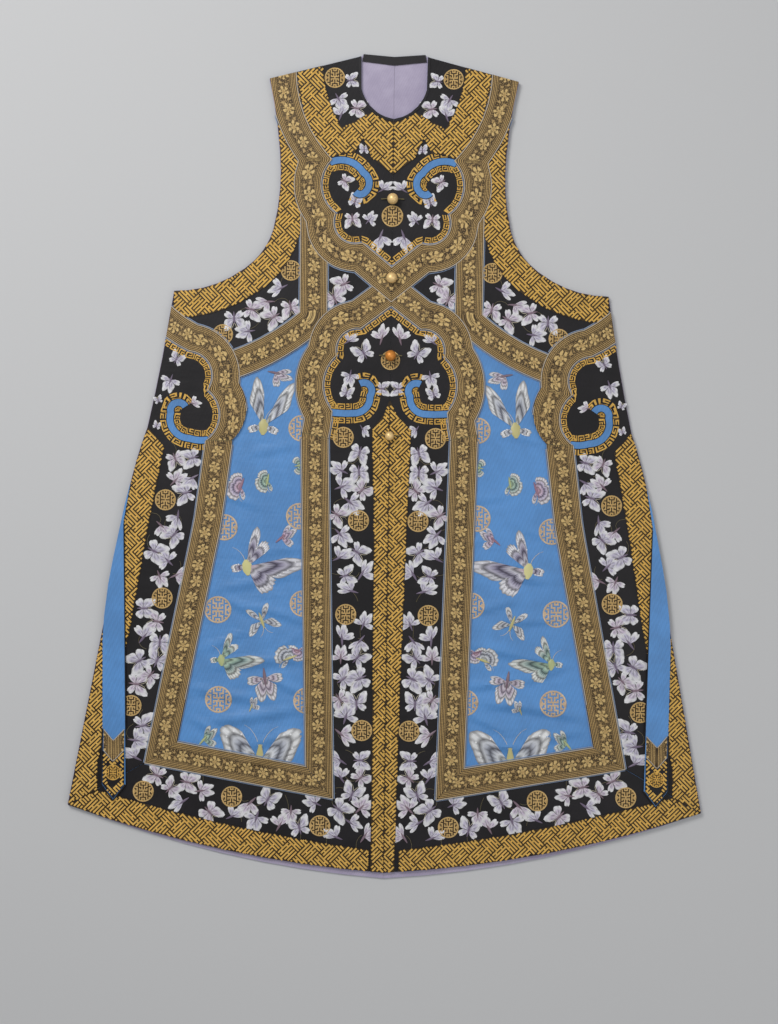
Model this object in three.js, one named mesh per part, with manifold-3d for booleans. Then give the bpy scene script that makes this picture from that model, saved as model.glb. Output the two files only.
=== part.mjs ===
// An embroidered silk waistcoat of the long, sleeveless Qing kind, laid flat with its front up.
// Millimetres. X across, wearer's left towards +X; Y up the body, neck towards +Y; Z up.
// The origin is under the middle of the garment, on the surface it lies on.
import * as THREE from 'three';
import { mergeVertices } from 'three/addons/utils/BufferGeometryUtils.js';
import Module from 'manifold-3d';

const wasm = await Module();
wasm.setup();

// ---------------------------------------------------------------- driving dimensions
const HALF_LENGTH = 680;      // half of neck band to back hem
const NECK_HALF = 55;         // half width of the neck opening
const NECK_TOP = 676;         // height of the shoulder seam at the neck
const SHOULDER_HALF = 205;    // half width from armhole edge to armhole edge at the shoulder
const SHOULDER_TOP = 637;
const CHEST_HALF = 185;       // half width between the armholes
const CHEST_Y = 497;
const UNDERARM_X = 358;       // corner where armhole and side seam meet
const UNDERARM_Y = 285;
const VENT_X = 399;           // top of the open side vent
const VENT_Y = 59;
const HEM_X = 522;            // bottom corner
const HEM_Y = -565;
const FRONT_HEM_Y = -670;     // front hem at the middle
const NECK_POINT_Y = 573;     // bottom of the front neckline
const NECK_SIDE_Y = 622;      // where the neckline leaves the straight

const GAP = 0.3;              // clearance between pieces
const CLEAR = 0.7;            // clearance cut round a piece, over what thinning moves its outline
const RIBBON = 44;            // width of the brocade ribbon
const TUCK = 12;              // how far a ground runs in under a ribbon
const SCROLL = 12;            // width of the blue scrolls
const FRET = 44;              // width of the gold fret border
const STEP = 2;               // spacing of points along a curve before thinning
const NOOK = 0.8;             // cosine of the turn past which a corner is a nook
const FLATNESS = 0.5;         // how far a thinned outline may leave its curve

// Layers, from the surface up. Each one clears the layer below by GAP.
const THICKNESS = {
  back: 1.6, lining: 1.2, front: 1.8, ground: 1.1, fret: 1.0, ribbon: 1.1,
  streamer: 1.2, streamerTrim: 1.0,
};
const LAYER = {};
Object.keys(THICKNESS).reduce((z, name) => {
  LAYER[name] = { bottom: z, top: z + THICKNESS[name] };
  return LAYER[name].top + GAP;
}, 0);

const COLOUR = {
  blue: 0x2f78b8, lining: 0xa69ab3, black: 0x1d1a1f, fret: 0xb48a42, ribbon: 0x84704e,
  scroll: 0x3f86c4, brass: 0xd9a441, amber: 0xc8661e,
};

// ---------------------------------------------------------------- the lie of the cloth
// Sections across the body: half is the half width there, lift how far the front stands off the
// flat back in the middle of each side.
const SECTIONS = [
  { y: 701.7, half: 260, lift: 0.0 },
  { y: 561.3, half: 232, lift: 1.2 },
  { y: 331.1, half: 268, lift: 2.0 },
  { y: 290, half: 366, lift: 2.4 },
  { y: 213.7, half: 396, lift: 2.8 },
  { y: 74.9, half: 424, lift: 2.4 },
  { y: -67.3, half: 456, lift: 3.0 },
  { y: -198.9, half: 482, lift: 2.3 },
  { y: -331.1, half: 506, lift: 3.0 },
  { y: -521.3, half: 543, lift: 2.0 },
  { y: -701.9, half: 571, lift: 0.0 },
];
// How the lift runs from one side edge to the other.
const ACROSS = [
  { at: -1, share: 0 }, { at: -0.81, share: 0.6 }, { at: -0.45, share: 1 },
  { at: 0.013, share: 0.6 }, { at: 0.44, share: 1 }, { at: 0.79, share: 0.6 },
  { at: 1, share: 0 },
];

// A wavy sheet between two heights over the whole garment.
function sheet({ bottom, top }) {
  const rows = SECTIONS.length;
  const columns = ACROSS.length;
  const points = [];
  for (const level of [bottom, top]) {
    for (const section of SECTIONS) {
      for (const column of ACROSS) {
        points.push(column.at * section.half, section.y, level + section.lift * column.share);
      }
    }
  }
  const faces = [];
  const upper = rows * columns;
  const wall = (a, b) => faces.push(a, b, upper + b, a, upper + b, upper + a);
  for (let row = 0; row < rows - 1; row += 1) {
    for (let column = 0; column < columns - 1; column += 1) {
      const a = row * columns + column;
      const b = a + 1;
      const c = a + columns;
      const d = c + 1;
      faces.push(a, b, d, a, d, c);
      faces.push(upper + a, upper + d, upper + b, upper + a, upper + c, upper + d);
    }
  }
  for (let column = 0; column < columns - 1; column += 1) {
    const last = (rows - 1) * columns + column;
    wall(column + 1, column);
    wall(last, last + 1);
  }
  for (let row = 0; row < rows - 1; row += 1) {
    const right = row * columns + columns - 1;
    wall(row * columns, (row + 1) * columns);
    wall(right + columns, right);
  }
  return new wasm.Manifold(new wasm.Mesh({
    numProp: 3,
    vertProperties: new Float32Array(points),
    triVerts: new Uint32Array(faces),
  }));
}

const sheets = {};
for (const [name, layer] of Object.entries(LAYER)) {
  sheets[name] = sheet(layer);
}

// ---------------------------------------------------------------- lines on the cloth
const point = (x, y) => new THREE.Vector2(x, y);

// The curve through a table of rows. A row ends a stretch, and bow is how far that stretch
// swells to the left of the way it runs.
function trace(rows) {
  const line = [point(rows[0].x, rows[0].y)];
  for (let index = 1; index < rows.length; index += 1) {
    const from = point(rows[index - 1].x, rows[index - 1].y);
    const to = point(rows[index].x, rows[index].y);
    const bow = rows[index].bow ?? 0;
    const run = to.clone().sub(from);
    const left = point(-run.y, run.x).normalize();
    const steps = Math.max(1, Math.ceil(run.length() / STEP));
    const turn = 2 * Math.atan2(2 * bow, run.length());
    for (let step = 1; step <= steps; step += 1) {
      const share = step / steps;
      const place = from.clone().addScaledVector(run, share);
      if (Math.abs(turn) > 1e-6) {
        const radius = run.length() / 2 / Math.sin(turn);
        const angle = turn * (1 - 2 * share);
        const along = (run.length() / 2) * (1 - Math.sin(angle) / Math.sin(turn));
        const out = radius * (Math.cos(angle) - Math.cos(turn));
        place.copy(from).addScaledVector(run.clone().normalize(), along).addScaledVector(left, out);
      }
      line.push(place);
    }
  }
  return line;
}

const clearOf = (spot, line) => {
  let nearest = Infinity;
  for (let index = 1; index < line.length; index += 1) {
    const a = line[index - 1];
    const run = line[index].clone().sub(a);
    const share = spot.clone().sub(a).dot(run) / Math.max(run.lengthSq(), 1e-9);
    const foot = a.clone().addScaledVector(run, THREE.MathUtils.clamp(share, 0, 1));
    nearest = Math.min(nearest, foot.distanceTo(spot));
  }
  return nearest;
};

// The line moved sideways, to its left where the distance is positive, trimmed at its nooks.
function beside(line, distance) {
  const moved = [];
  for (let index = 0; index < line.length; index += 1) {
    const here = line[index];
    const before = line[Math.max(index - 1, 0)];
    const after = line[Math.min(index + 1, line.length - 1)];
    const inward = here.clone().sub(index ? before : here.clone().multiplyScalar(2).sub(after));
    const outward = index < line.length - 1 ? after.clone().sub(here) : inward.clone();
    const first = point(-inward.y, inward.x).normalize();
    const second = point(-outward.y, outward.x).normalize();
    const nook = first.dot(second) < NOOK && inward.cross(outward) * distance > 0;
    if (!nook) {
      const mitre = first.clone().add(second).divideScalar(1 + first.dot(second));
      moved.push(here.clone().addScaledVector(mitre, distance));
    }
  }
  const reach = Math.abs(distance) - 0.01;
  return moved.filter((spot) => clearOf(spot, line) > reach);
}

// Points that a straight line between their neighbours can stand in for are left out.
function thin(line) {
  if (line.length < 3) return line;
  const last = line.length - 1;
  let worst = 0;
  let at = 0;
  for (let index = 1; index < last; index += 1) {
    const miss = clearOf(line[index], [line[0], line[last]]);
    if (miss > worst) {
      worst = miss;
      at = index;
    }
  }
  if (worst < FLATNESS) return [line[0], line[last]];
  return [...thin(line.slice(0, at + 1)), ...thin(line.slice(at)).slice(1)];
}

const reversed = (line) => [...line].reverse();

// A strip between a line and the same line moved sideways.
const strip = (line, width) => [...thin(line), ...reversed(thin(beside(line, width)))];

// ---------------------------------------------------------------- the edges of the garment
const NECKLINE = trace([
  { x: NECK_HALF, y: NECK_TOP },
  { x: NECK_HALF - 1, y: NECK_SIDE_Y },
  { x: 0, y: NECK_POINT_Y, bow: 11 },
]);
const SHOULDER = trace([
  { x: NECK_HALF, y: NECK_TOP },
  { x: SHOULDER_HALF, y: SHOULDER_TOP },
]);
const ARMHOLE = trace([
  { x: SHOULDER_HALF, y: SHOULDER_TOP },
  { x: CHEST_HALF, y: CHEST_Y, bow: -3 },
  { x: 196, y: 387, bow: -4 },
  { x: 250, y: 318, bow: -8 },
  { x: UNDERARM_X, y: UNDERARM_Y, bow: -9 },
]);
const SIDE_SEAM = trace([
  { x: UNDERARM_X, y: UNDERARM_Y },
  { x: VENT_X, y: VENT_Y, bow: -2 },
]);
const VENT = trace([
  { x: VENT_X, y: VENT_Y },
  { x: 438, y: -108, bow: 5 },
  { x: HEM_X, y: HEM_Y },
]);
const FRONT_HEM = trace([
  { x: HEM_X, y: HEM_Y },
  { x: 0, y: FRONT_HEM_Y, bow: 18 },
]);
const BACK_HEM = trace([
  { x: HEM_X, y: HEM_Y },
  { x: 0, y: -HALF_LENGTH, bow: 20 },
]);
const BACK_NECK = trace([
  { x: 0, y: HALF_LENGTH - 4 },
  { x: NECK_HALF - 4, y: HALF_LENGTH, bow: -1 },
  { x: NECK_HALF, y: NECK_TOP },
]);

// ---------------------------------------------------------------- the ribbon lines
// Edges of the ribbons on the side of the black grounds, on the wearer's left. The lobes and
// nooks are those of a cloud collar and of ruyi heads. Lines run on past the middle and past
// the edges, and the front panel's own outline cuts them.
const COLLAR_LINE = trace([
  { x: 162, y: 659 },
  { x: 101, y: 505, bow: 17 },
  { x: 94, y: 416, bow: 21 },
  { x: 49, y: 368, bow: 22 },
  { x: -49, y: 288 },
]);
const CENTRE_LINE = trace([
  { x: -50, y: 303 },
  { x: 50, y: 227 },
  { x: 89, y: 182, bow: 16 },
  { x: 95, y: 90, bow: 19 },
  { x: 101, y: 45, bow: -1 },
]);
const SIDE_RUYI_LINE = trace([
  { x: 303, y: 38 },
  { x: 300, y: 122, bow: 22 },
  { x: 331, y: 186, bow: 21 },
  { x: 392, y: 227, bow: -3 },
]);
// The outer edge of the side ribbon's lowest lobe, where it draws in to the straight ribbon.
const RUYI_RETURN = trace([
  { x: 250, y: 135 },
  { x: 259, y: 40, bow: -18 },
]);
const ARMHOLE_LINE = trace([
  { x: 151, y: 423 },
  { x: 150, y: 252 },
  { x: 282, y: 180, bow: -8 },
]);
const FRAME_LINE = trace([
  { x: 101, y: 44 },
  { x: 85, y: -549 },
  { x: 396, y: -494 },
  { x: 319, y: -92 },
  { x: 303, y: 37 },
]);
// Middle lines of the hooked scrolls.
const SCROLL_LINES = {
  collar_scroll: [
    { x: 104, y: 500 },
    { x: 49, y: 484, bow: -11 },
    { x: 45, y: 452, bow: -8 },
    { x: 62, y: 452, bow: -4 },
  ],
  centre_scroll: [
    { x: 99, y: 88 },
    { x: 60, y: 87, bow: 1 },
    { x: 33, y: 116, bow: 9 },
    { x: 50, y: 136, bow: 11 },
  ],
  side_scroll: [
    { x: 299, y: 40 },
    { x: 330, y: 42, bow: -2 },
    { x: 361, y: 84, bow: -13 },
    { x: 337, y: 94, bow: -12 },
  ],
};
const BINDING = 4;

// ---------------------------------------------------------------- outlines, wearer's left half
const SEAM = GAP / 2;
const EDGE = [
  ...thin(SHOULDER), ...thin(ARMHOLE).slice(1), ...thin(SIDE_SEAM).slice(1),
  ...thin(VENT).slice(1),
];
const frontOutline = [
  ...EDGE, ...thin(FRONT_HEM).slice(1, -1), point(SEAM, FRONT_HEM_Y),
  point(SEAM, NECK_POINT_Y), ...reversed(thin(NECKLINE)).slice(1, -1),
];
const backOutline = [
  ...EDGE, ...thin(BACK_HEM).slice(1, -1), point(SEAM, -HALF_LENGTH),
  point(SEAM, HALF_LENGTH - 4), point(NECK_HALF - 4, HALF_LENGTH),
];
const ABOVE = 760;
const BELOW = -760;
const BEYOND = 620;
const CROSS = -20;
const rows = (table) => table.map(({ x, y }) => point(x, y));
const between = (line, low, high) => line.filter(({ y }) => y >= low && y <= high);

const frameUnder = beside(FRAME_LINE, TUCK);
const frameOuter = beside(FRAME_LINE, RIBBON);
const corner = (line, sign) => line.reduce((best, spot) => (
  spot.x * sign - spot.y > best.x * sign - best.y ? spot : best));
const FRONT_CORNER = { inner: point(85, -549), outer: corner(frameOuter, -1) };
const SIDE_CORNER = { inner: point(396, -494), outer: corner(frameOuter, 1) };
const groundCorner = corner(frameUnder, 1);

const yokeGround = [
  point(CROSS, ABOVE), point(190, ABOVE), ...thin(beside(COLLAR_LINE, TUCK)),
];
const underarmGround = [
  ...thin(between(beside(COLLAR_LINE, RIBBON - TUCK), 298, ABOVE)),
  ...thin(between(beside(CENTRE_LINE, RIBBON - TUCK), 208, 294)),
  point(150, 216), point(250, 172),
  ...thin(between(beside(SIDE_RUYI_LINE, RIBBON - TUCK), 176, ABOVE)),
  point(BEYOND, 240), point(BEYOND, ABOVE),
];
const GROUND_SEAM = 97;         // where the front and hem grounds meet, under the ribbon
const frontGround = [
  ...thin(beside(CENTRE_LINE, TUCK)), point(GROUND_SEAM - SEAM, -549 + TUCK),
  point(GROUND_SEAM - SEAM, BELOW),
  point(CROSS, BELOW),
];
const hemGround = [
  point(GROUND_SEAM + SEAM, -549 + TUCK), point(groundCorner.x - 1, groundCorner.y),
  point(HEM_X - 1, HEM_Y), point(HEM_X, BELOW), point(GROUND_SEAM + SEAM, BELOW),
];
const sideGround = [
  point(groundCorner.x, groundCorner.y + 1), point(319 - TUCK, -92), point(303 - TUCK, 30),
  ...thin(between(beside(SIDE_RUYI_LINE, TUCK), 48, ABOVE)),
  point(BEYOND, 300), point(BEYOND, HEM_Y - 30), point(HEM_X, HEM_Y + 1),
];

const neckBinding = strip(NECKLINE, BINDING);
const armholeFret = strip(ARMHOLE, -FRET);
const yokeFret = [
  ...thin(between(beside(COLLAR_LINE, TUCK), 506, ABOVE)),
  ...thin(trace([
    { x: 101, y: 506 },
    { x: 64, y: 516, bow: -4 },
    { x: 50, y: 541 },
    { x: 37, y: 510 },
    { x: 0, y: 482 },
  ])),
  ...thin(trace([
    { x: 0, y: 590 },
    { x: 62, y: 569, bow: 6 },
    { x: 86, y: 558 },
    { x: 118, y: 662, bow: -7 },
  ])),
];
// Half widths of the two borders that meet at the front opening.
const FRONT_FRET = [
  { y: 108, left: 1, right: 1 },
  { y: 84, left: 12, right: 11 },
  { y: 60, left: 36, right: 29 },
  { y: -90, left: 31, right: 24 },
  { y: -385, left: 23, right: 22 },
  { y: BELOW, left: 16, right: 22 },
];
const VENT_FRET = [
  { x: VENT_X - 1, y: VENT_Y },
  { x: 371, y: 27 },
  { x: 395, y: -99 },
  { x: 424, y: -278 },
  { x: 473, y: -490 },
  { x: 474, y: -539 },
  { x: HEM_X, y: HEM_Y + 1 },
  { x: BEYOND, y: HEM_Y },
  { x: BEYOND, y: VENT_Y },
];
const hemFret = [
  ...thin(trace([{ x: 474, y: -540 }, { x: 24, y: -633, bow: 9 }])),
  point(24, BELOW), point(HEM_X, BELOW), point(HEM_X, HEM_Y),
];

// Streamers that come out of the side vents and lie on the front.
const STREAMER = [
  { x: 425, y: -30 },
  { x: 436, y: -95 },
  { x: 427, y: -530 },
  { x: 447, y: -556 },
  { x: 467, y: -530 },
  { x: 466, y: -438 },
  { x: 468, y: -290 },
  { x: 466, y: -252 },
  { x: 460, y: -200 },
  { x: 453, y: -160 },
  { x: 443, y: -110 },
  { x: 434, y: -66 },
];
const CHEVRON = [
  { x: 430, y: -439 },
  { x: 448, y: -458 },
  { x: 464, y: -439 },
  { x: 464, y: -473 },
  { x: 448, y: -492 },
  { x: 430, y: -473 },
];
const STREAMER_END = [
  { x: 429.5, y: -474 },
  { x: 448, y: -493 },
  { x: 465, y: -474 },
  { x: 465, y: -529 },
  { x: 447, y: -553 },
  { x: 429, y: -529 },
];
const neckBand = [
  point(-53, 668), point(-51, HALF_LENGTH), point(0, HALF_LENGTH - 4), point(51, HALF_LENGTH),
  point(53, 668), point(0, 662),
];

// Knob buttons down the opening.
const BUTTONS = [
  { name: 'button_1', y: 440, radius: 9, colour: COLOUR.brass },
  { name: 'button_2', y: 310, radius: 9, colour: COLOUR.brass },
  { name: 'button_3', y: 182, radius: 9, colour: COLOUR.amber },
  { name: 'button_4', y: 50, radius: 7.5, colour: COLOUR.brass },
];

// ---------------------------------------------------------------- making the solids
const SIDES = [{ name: 'left', sign: 1 }, { name: 'right', sign: -1 }];
const group = new THREE.Group();

function plate(outline, sign, bottom, top) {
  const shape = new THREE.Shape(outline.map(({ x, y }) => point(x * sign, y)));
  const prism = new THREE.ExtrudeGeometry(shape, { depth: top - bottom, bevelEnabled: false });
  prism.translate(0, 0, bottom);
  return prism;
}

// Heights that a cutting prism reaches past the cloth.
const UNDER_ALL = -10;
const OVER_ALL = 50;

function solidOf(outline, sign) {
  const prism = plate(outline, sign, UNDER_ALL, OVER_ALL);
  prism.deleteAttribute('normal');
  prism.deleteAttribute('uv');
  const merged = mergeVertices(prism, 1e-4);
  return new wasm.Manifold(new wasm.Mesh({
    numProp: 3,
    vertProperties: new Float32Array(merged.attributes.position.array),
    triVerts: new Uint32Array(merged.index.array),
  }));
}

function addMesh(name, geometry, colour, metalness = 0) {
  const material = new THREE.MeshStandardMaterial({
    color: colour, roughness: metalness ? 0.3 : 0.75, metalness,
  });
  const mesh = new THREE.Mesh(geometry, material);
  mesh.name = name;
  group.add(mesh);
}

// A piece of cloth: its outline, given the wave of its layer, cut by the panel it lies on and
// cleared by the pieces it meets.
function cloth(name, layer, colour, solid) {
  const mesh = sheets[layer].intersect(solid).getMesh();
  const geometry = new THREE.BufferGeometry();
  const places = [];
  for (let index = 0; index < mesh.vertProperties.length; index += mesh.numProp) {
    places.push(...mesh.vertProperties.slice(index, index + 3));
  }
  geometry.setAttribute('position', new THREE.Float32BufferAttribute(places, 3));
  geometry.setIndex([...mesh.triVerts]);
  addMesh(name, geometry, colour);
}

for (const { name: side, sign } of SIDES) {
  const solid = (outline) => solidOf(outline, sign);
  const panel = solid(frontOutline);
  const on = (outline) => solid(outline).intersect(panel);
  const grown = (line, width) => solid([
    ...thin(beside(line, -CLEAR * Math.sign(width))),
    ...reversed(thin(beside(line, width + CLEAR * Math.sign(width)))),
  ]);

  const flat = ({ bottom, top }) => plate(backOutline, sign, bottom, top);
  addMesh(`back_${side}`, flat(LAYER.back), COLOUR.blue);
  addMesh(`back_lining_${side}`, flat(LAYER.lining), COLOUR.lining);
  cloth(`front_${side}`, 'front', COLOUR.blue, panel);

  cloth(`yoke_ground_${side}`, 'ground', COLOUR.black, on(yokeGround));
  cloth(`underarm_ground_${side}`, 'ground', COLOUR.black, on(underarmGround));
  cloth(`front_ground_${side}`, 'ground', COLOUR.black, on(frontGround));
  cloth(`hem_ground_${side}`, 'ground', COLOUR.black, on(hemGround));
  cloth(`side_ground_${side}`, 'ground', COLOUR.black, on(sideGround));

  const scrolls = {};
  for (const [name, table] of Object.entries(SCROLL_LINES)) {
    const edge = beside(trace(table), -SCROLL / 2);
    scrolls[name] = grown(edge, SCROLL);
    cloth(`${name}_${side}`, 'fret', COLOUR.scroll, on(strip(edge, SCROLL)));
  }
  const binding = grown(NECKLINE, BINDING);
  cloth(`neck_binding_${side}`, 'fret', COLOUR.black, on(neckBinding));
  cloth(`armhole_fret_${side}`, 'fret', COLOUR.fret, on(armholeFret));
  cloth(`yoke_fret_${side}`, 'fret', COLOUR.fret,
    on(yokeFret).subtract(binding).subtract(scrolls.collar_scroll).subtract(grown(ARMHOLE, -FRET)));
  const frontFret = [
    ...FRONT_FRET.map((row) => point(row[side], row.y)),
    point(CROSS, BELOW), point(CROSS, FRONT_FRET[0].y),
  ];
  cloth(`front_fret_${side}`, 'fret', COLOUR.fret, on(frontFret));
  cloth(`vent_fret_${side}`, 'fret', COLOUR.fret, on(rows(VENT_FRET)));
  cloth(`hem_fret_${side}`, 'fret', COLOUR.fret, on(hemFret));

  const collar = grown(COLLAR_LINE, RIBBON);
  const centre = grown(CENTRE_LINE, RIBBON);
  const sideRuyi = grown(SIDE_RUYI_LINE, RIBBON);
  cloth(`collar_ribbon_${side}`, 'ribbon', COLOUR.ribbon, on(strip(COLLAR_LINE, RIBBON)));
  cloth(`centre_ribbon_${side}`, 'ribbon', COLOUR.ribbon,
    on(strip(CENTRE_LINE, RIBBON)).subtract(collar));
  cloth(`armhole_ribbon_${side}`, 'ribbon', COLOUR.ribbon,
    on(strip(ARMHOLE_LINE, -RIBBON)).subtract(collar).subtract(centre).subtract(sideRuyi));
  const ruyiStrip = [
    point(303, 39), ...thin(SIDE_RUYI_LINE).slice(1),
    ...reversed(thin(between(beside(SIDE_RUYI_LINE, RIBBON), 137, ABOVE))), ...thin(RUYI_RETURN),
  ];
  cloth(`side_ruyi_ribbon_${side}`, 'ribbon', COLOUR.ribbon, on(ruyiStrip));
  cloth(`front_ribbon_${side}`, 'ribbon', COLOUR.ribbon, on([
    point(101, 44), point(85, -549 + GAP), FRONT_CORNER.outer.clone().add(point(0, GAP)),
    point(144.6, 53.4),
  ]));
  cloth(`hem_ribbon_${side}`, 'ribbon', COLOUR.ribbon, on([
    point(85 + GAP, -549), point(396 - GAP, -494), SIDE_CORNER.outer.clone().add(point(-GAP, 0)),
    FRONT_CORNER.outer.clone().add(point(GAP, 0)),
  ]));
  cloth(`side_ribbon_${side}`, 'ribbon', COLOUR.ribbon, on([
    point(396, -494 + GAP), point(319, -92), point(303, 38.4), point(259, 39), point(275, -92),
    SIDE_CORNER.outer.clone().add(point(0, GAP)),
  ]));

  cloth(`streamer_${side}`, 'streamer', COLOUR.scroll, solid(rows(STREAMER)));
  cloth(`streamer_chevron_${side}`, 'streamerTrim', COLOUR.ribbon, solid(rows(CHEVRON)));
  cloth(`streamer_end_${side}`, 'streamerTrim', COLOUR.black, solid(rows(STREAMER_END)));
}
cloth('neck_band', 'front', COLOUR.black, solidOf(neckBand, 1));

const BUTTON_LIFT = 3;          // the shank's length over the ribbons
const FLATTENED = 0.9;          // height of a button against its width
for (const { name, y, radius, colour } of BUTTONS) {
  const ball = new THREE.SphereGeometry(radius, 16, 10);
  ball.rotateX(Math.PI / 2);
  ball.scale(1, 1, FLATTENED);
  ball.translate(0, y, LAYER.ribbon.top + BUTTON_LIFT + GAP + radius * FLATTENED);
  addMesh(name, ball, colour, 0.8);
}

export default group;
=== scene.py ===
"""An embroidered silk waistcoat of the long, sleeveless Qing kind, laid flat with its front up.

The file is laid out as an add-on and is run as a script. Tables are in millimetres on the cloth,
with the wearer's left as +X and the neck as +Y, and meshes are in metres.
"""
import math
import random

import bmesh
import bpy
import numpy as np
from bpy.props import FloatProperty, FloatVectorProperty, IntProperty, PointerProperty
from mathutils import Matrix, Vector


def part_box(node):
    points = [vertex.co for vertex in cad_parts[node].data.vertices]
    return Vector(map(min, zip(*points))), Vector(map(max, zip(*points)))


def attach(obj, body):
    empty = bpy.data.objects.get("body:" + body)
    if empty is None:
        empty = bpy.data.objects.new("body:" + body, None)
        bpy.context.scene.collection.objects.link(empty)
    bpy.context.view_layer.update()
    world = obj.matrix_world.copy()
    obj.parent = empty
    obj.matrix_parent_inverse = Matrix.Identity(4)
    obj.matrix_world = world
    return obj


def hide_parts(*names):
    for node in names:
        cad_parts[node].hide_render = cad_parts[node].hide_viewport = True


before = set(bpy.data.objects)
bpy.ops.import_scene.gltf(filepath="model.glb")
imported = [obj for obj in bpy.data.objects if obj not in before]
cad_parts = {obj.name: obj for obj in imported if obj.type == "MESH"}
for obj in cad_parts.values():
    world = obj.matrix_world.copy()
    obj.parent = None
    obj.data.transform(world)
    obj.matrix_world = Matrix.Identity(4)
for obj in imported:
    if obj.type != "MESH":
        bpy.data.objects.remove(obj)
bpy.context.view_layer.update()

bl_info = {
    "name": "Embroidered Waistcoat",
    "version": (1, 0, 0),
    "blender": (4, 5, 0),
    "location": "View3D > Sidebar > Waistcoat",
    "description": "Dresses a laid-out silk waistcoat: satin, fret, brocade ribbon and embroidery",
    "category": "Add Mesh",
}

MM = 0.001
SIDES = (("left", 1), ("right", -1))

# ------------------------------------------------------------------ sizes of the cut pieces, mm
RIBBON = 44.0
FRET = 44.0
SCROLL = 12.0
GAP = 0.3
LAYER_THICKNESS = (
    ("back", 1.6), ("lining", 1.2), ("front", 1.8), ("ground", 1.1), ("fret", 1.0),
    ("ribbon", 1.1), ("streamer", 1.2), ("streamer_trim", 1.0),
)
LAYERS = {}
_level = 0.0
for _name, _thickness in LAYER_THICKNESS:
    LAYERS[_name] = (_level, _level + _thickness)
    _level += _thickness + GAP

# Sections across the body: y, half width, lift of the front off the flat back.
SECTIONS = np.array((
    (701.7, 260, 0.0), (561.3, 232, 1.2), (331.1, 268, 2.0), (290, 366, 2.4), (213.7, 396, 2.8),
    (74.9, 424, 2.4), (-67.3, 456, 3.0), (-198.9, 482, 2.3), (-331.1, 506, 3.0),
    (-521.3, 543, 2.0), (-701.9, 571, 0.0),
))[::-1]
# How the lift runs from side to side: place, share.
ACROSS = np.array((
    (-1, 0), (-0.81, 0.6), (-0.45, 1), (0.013, 0.6), (0.44, 1), (0.79, 0.6), (1, 0),
))
SOFT_ALONG = (-42, -14, 14, 42)     # spread of the samples that soften the lift, up the body
SOFT_ACROSS = (-0.05, 0, 0.05)      # and from side to side, as a share of the half width
# A crease's trough: depth and half width. Its ridge: height, place and half width. All as shares.
TROUGH = (0.8, 0.8)
RIDGE = (1.6, 1.3, 0.75)
# Creases of the blue silk: x, y, length, width, depth, turn in degrees, bend.
CREASES = (
    (-215, -205, 120, 9, 1.3, 12, 0.0007), (-190, -252, 95, 8, 1.5, -14, -0.0009),
    (-262, -300, 80, 8, 1.2, 24, 0.0010), (-205, -336, 130, 10, 1.7, 6, -0.0006),
    (-170, -372, 70, 7, 1.2, -22, 0.0012), (-262, -392, 105, 9, 1.6, -8, 0.0008),
    (-215, -428, 140, 10, 1.8, 9, 0.0005), (-292, -446, 60, 8, 1.3, -26, 0.0011),
    (-180, -462, 85, 8, 1.4, 16, -0.0008), (-250, -240, 60, 7, 1.0, -30, 0.0009),
    (-175, -150, 75, 8, 0.9, 8, -0.0009), (-245, -70, 60, 8, 0.8, -18, 0.0008),
    (-190, 15, 70, 9, 0.8, 12, -0.0006), (-160, -300, 45, 6, 1.0, 34, 0.0012),
    (210, -190, 110, 9, 1.2, -10, 0.0008), (178, -238, 80, 8, 1.3, 16, -0.0010),
    (248, -262, 95, 9, 1.4, 4, 0.0007), (205, -318, 135, 10, 1.7, -12, -0.0005),
    (262, -350, 75, 8, 1.3, 22, 0.0011), (180, -366, 85, 8, 1.5, 10, 0.0009),
    (240, -408, 140, 10, 1.8, -7, -0.0006), (165, -430, 60, 7, 1.2, -24, 0.0012),
    (282, -452, 90, 9, 1.5, 12, 0.0008), (200, -470, 100, 8, 1.4, -4, -0.0009),
    (250, -120, 65, 8, 0.9, -16, 0.0010), (170, -60, 70, 8, 0.8, 10, 0.0007),
    (215, 40, 80, 9, 0.8, -14, -0.0006), (150, -130, 50, 7, 0.9, 28, 0.0011),
    (-210, -500, 90, 9, 1.1, 10, 0.0006), (215, -515, 95, 9, 1.1, -9, 0.0006),
    (-60, -330, 50, 8, 0.7, 14, 0.0008), (64, -180, 50, 8, 0.7, -12, 0.0008),
)

# Ribbon lines, on the edge towards the black grounds: x, y, bow to the left of the run.
RIBBON_LINES = {
    "collar_ribbon": ((162, 659, 0), (101, 505, 17), (94, 416, 21), (49, 368, 22), (-49, 288, 0)),
    "centre_ribbon": ((-50, 303, 0), (50, 227, 0), (89, 182, 16), (95, 90, 19), (101, 45, -1)),
    "armhole_ribbon": ((151, 423, 0), (150, 252, 0), (282, 180, -8)),
    "side_ruyi_ribbon": ((303, 38, 0), (300, 122, 22), (331, 186, 21), (392, 227, -3)),
    "front_ribbon": ((101, 44, 0), (85, -549, 0)),
    "hem_ribbon": ((85, -549, 0), (396, -494, 0)),
    "side_ribbon": ((396, -494, 0), (319, -92, 0), (303, 38, 0)),
}
SCROLL_LINES = {
    "collar_scroll": ((104, 500, 0), (49, 484, -11), (45, 452, -8), (62, 452, -4)),
    "centre_scroll": ((99, 88, 0), (60, 87, 1), (33, 116, 9), (50, 136, 11)),
    "side_scroll": ((299, 40, 0), (330, 42, -2), (361, 84, -13), (337, 94, -12)),
}
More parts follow.
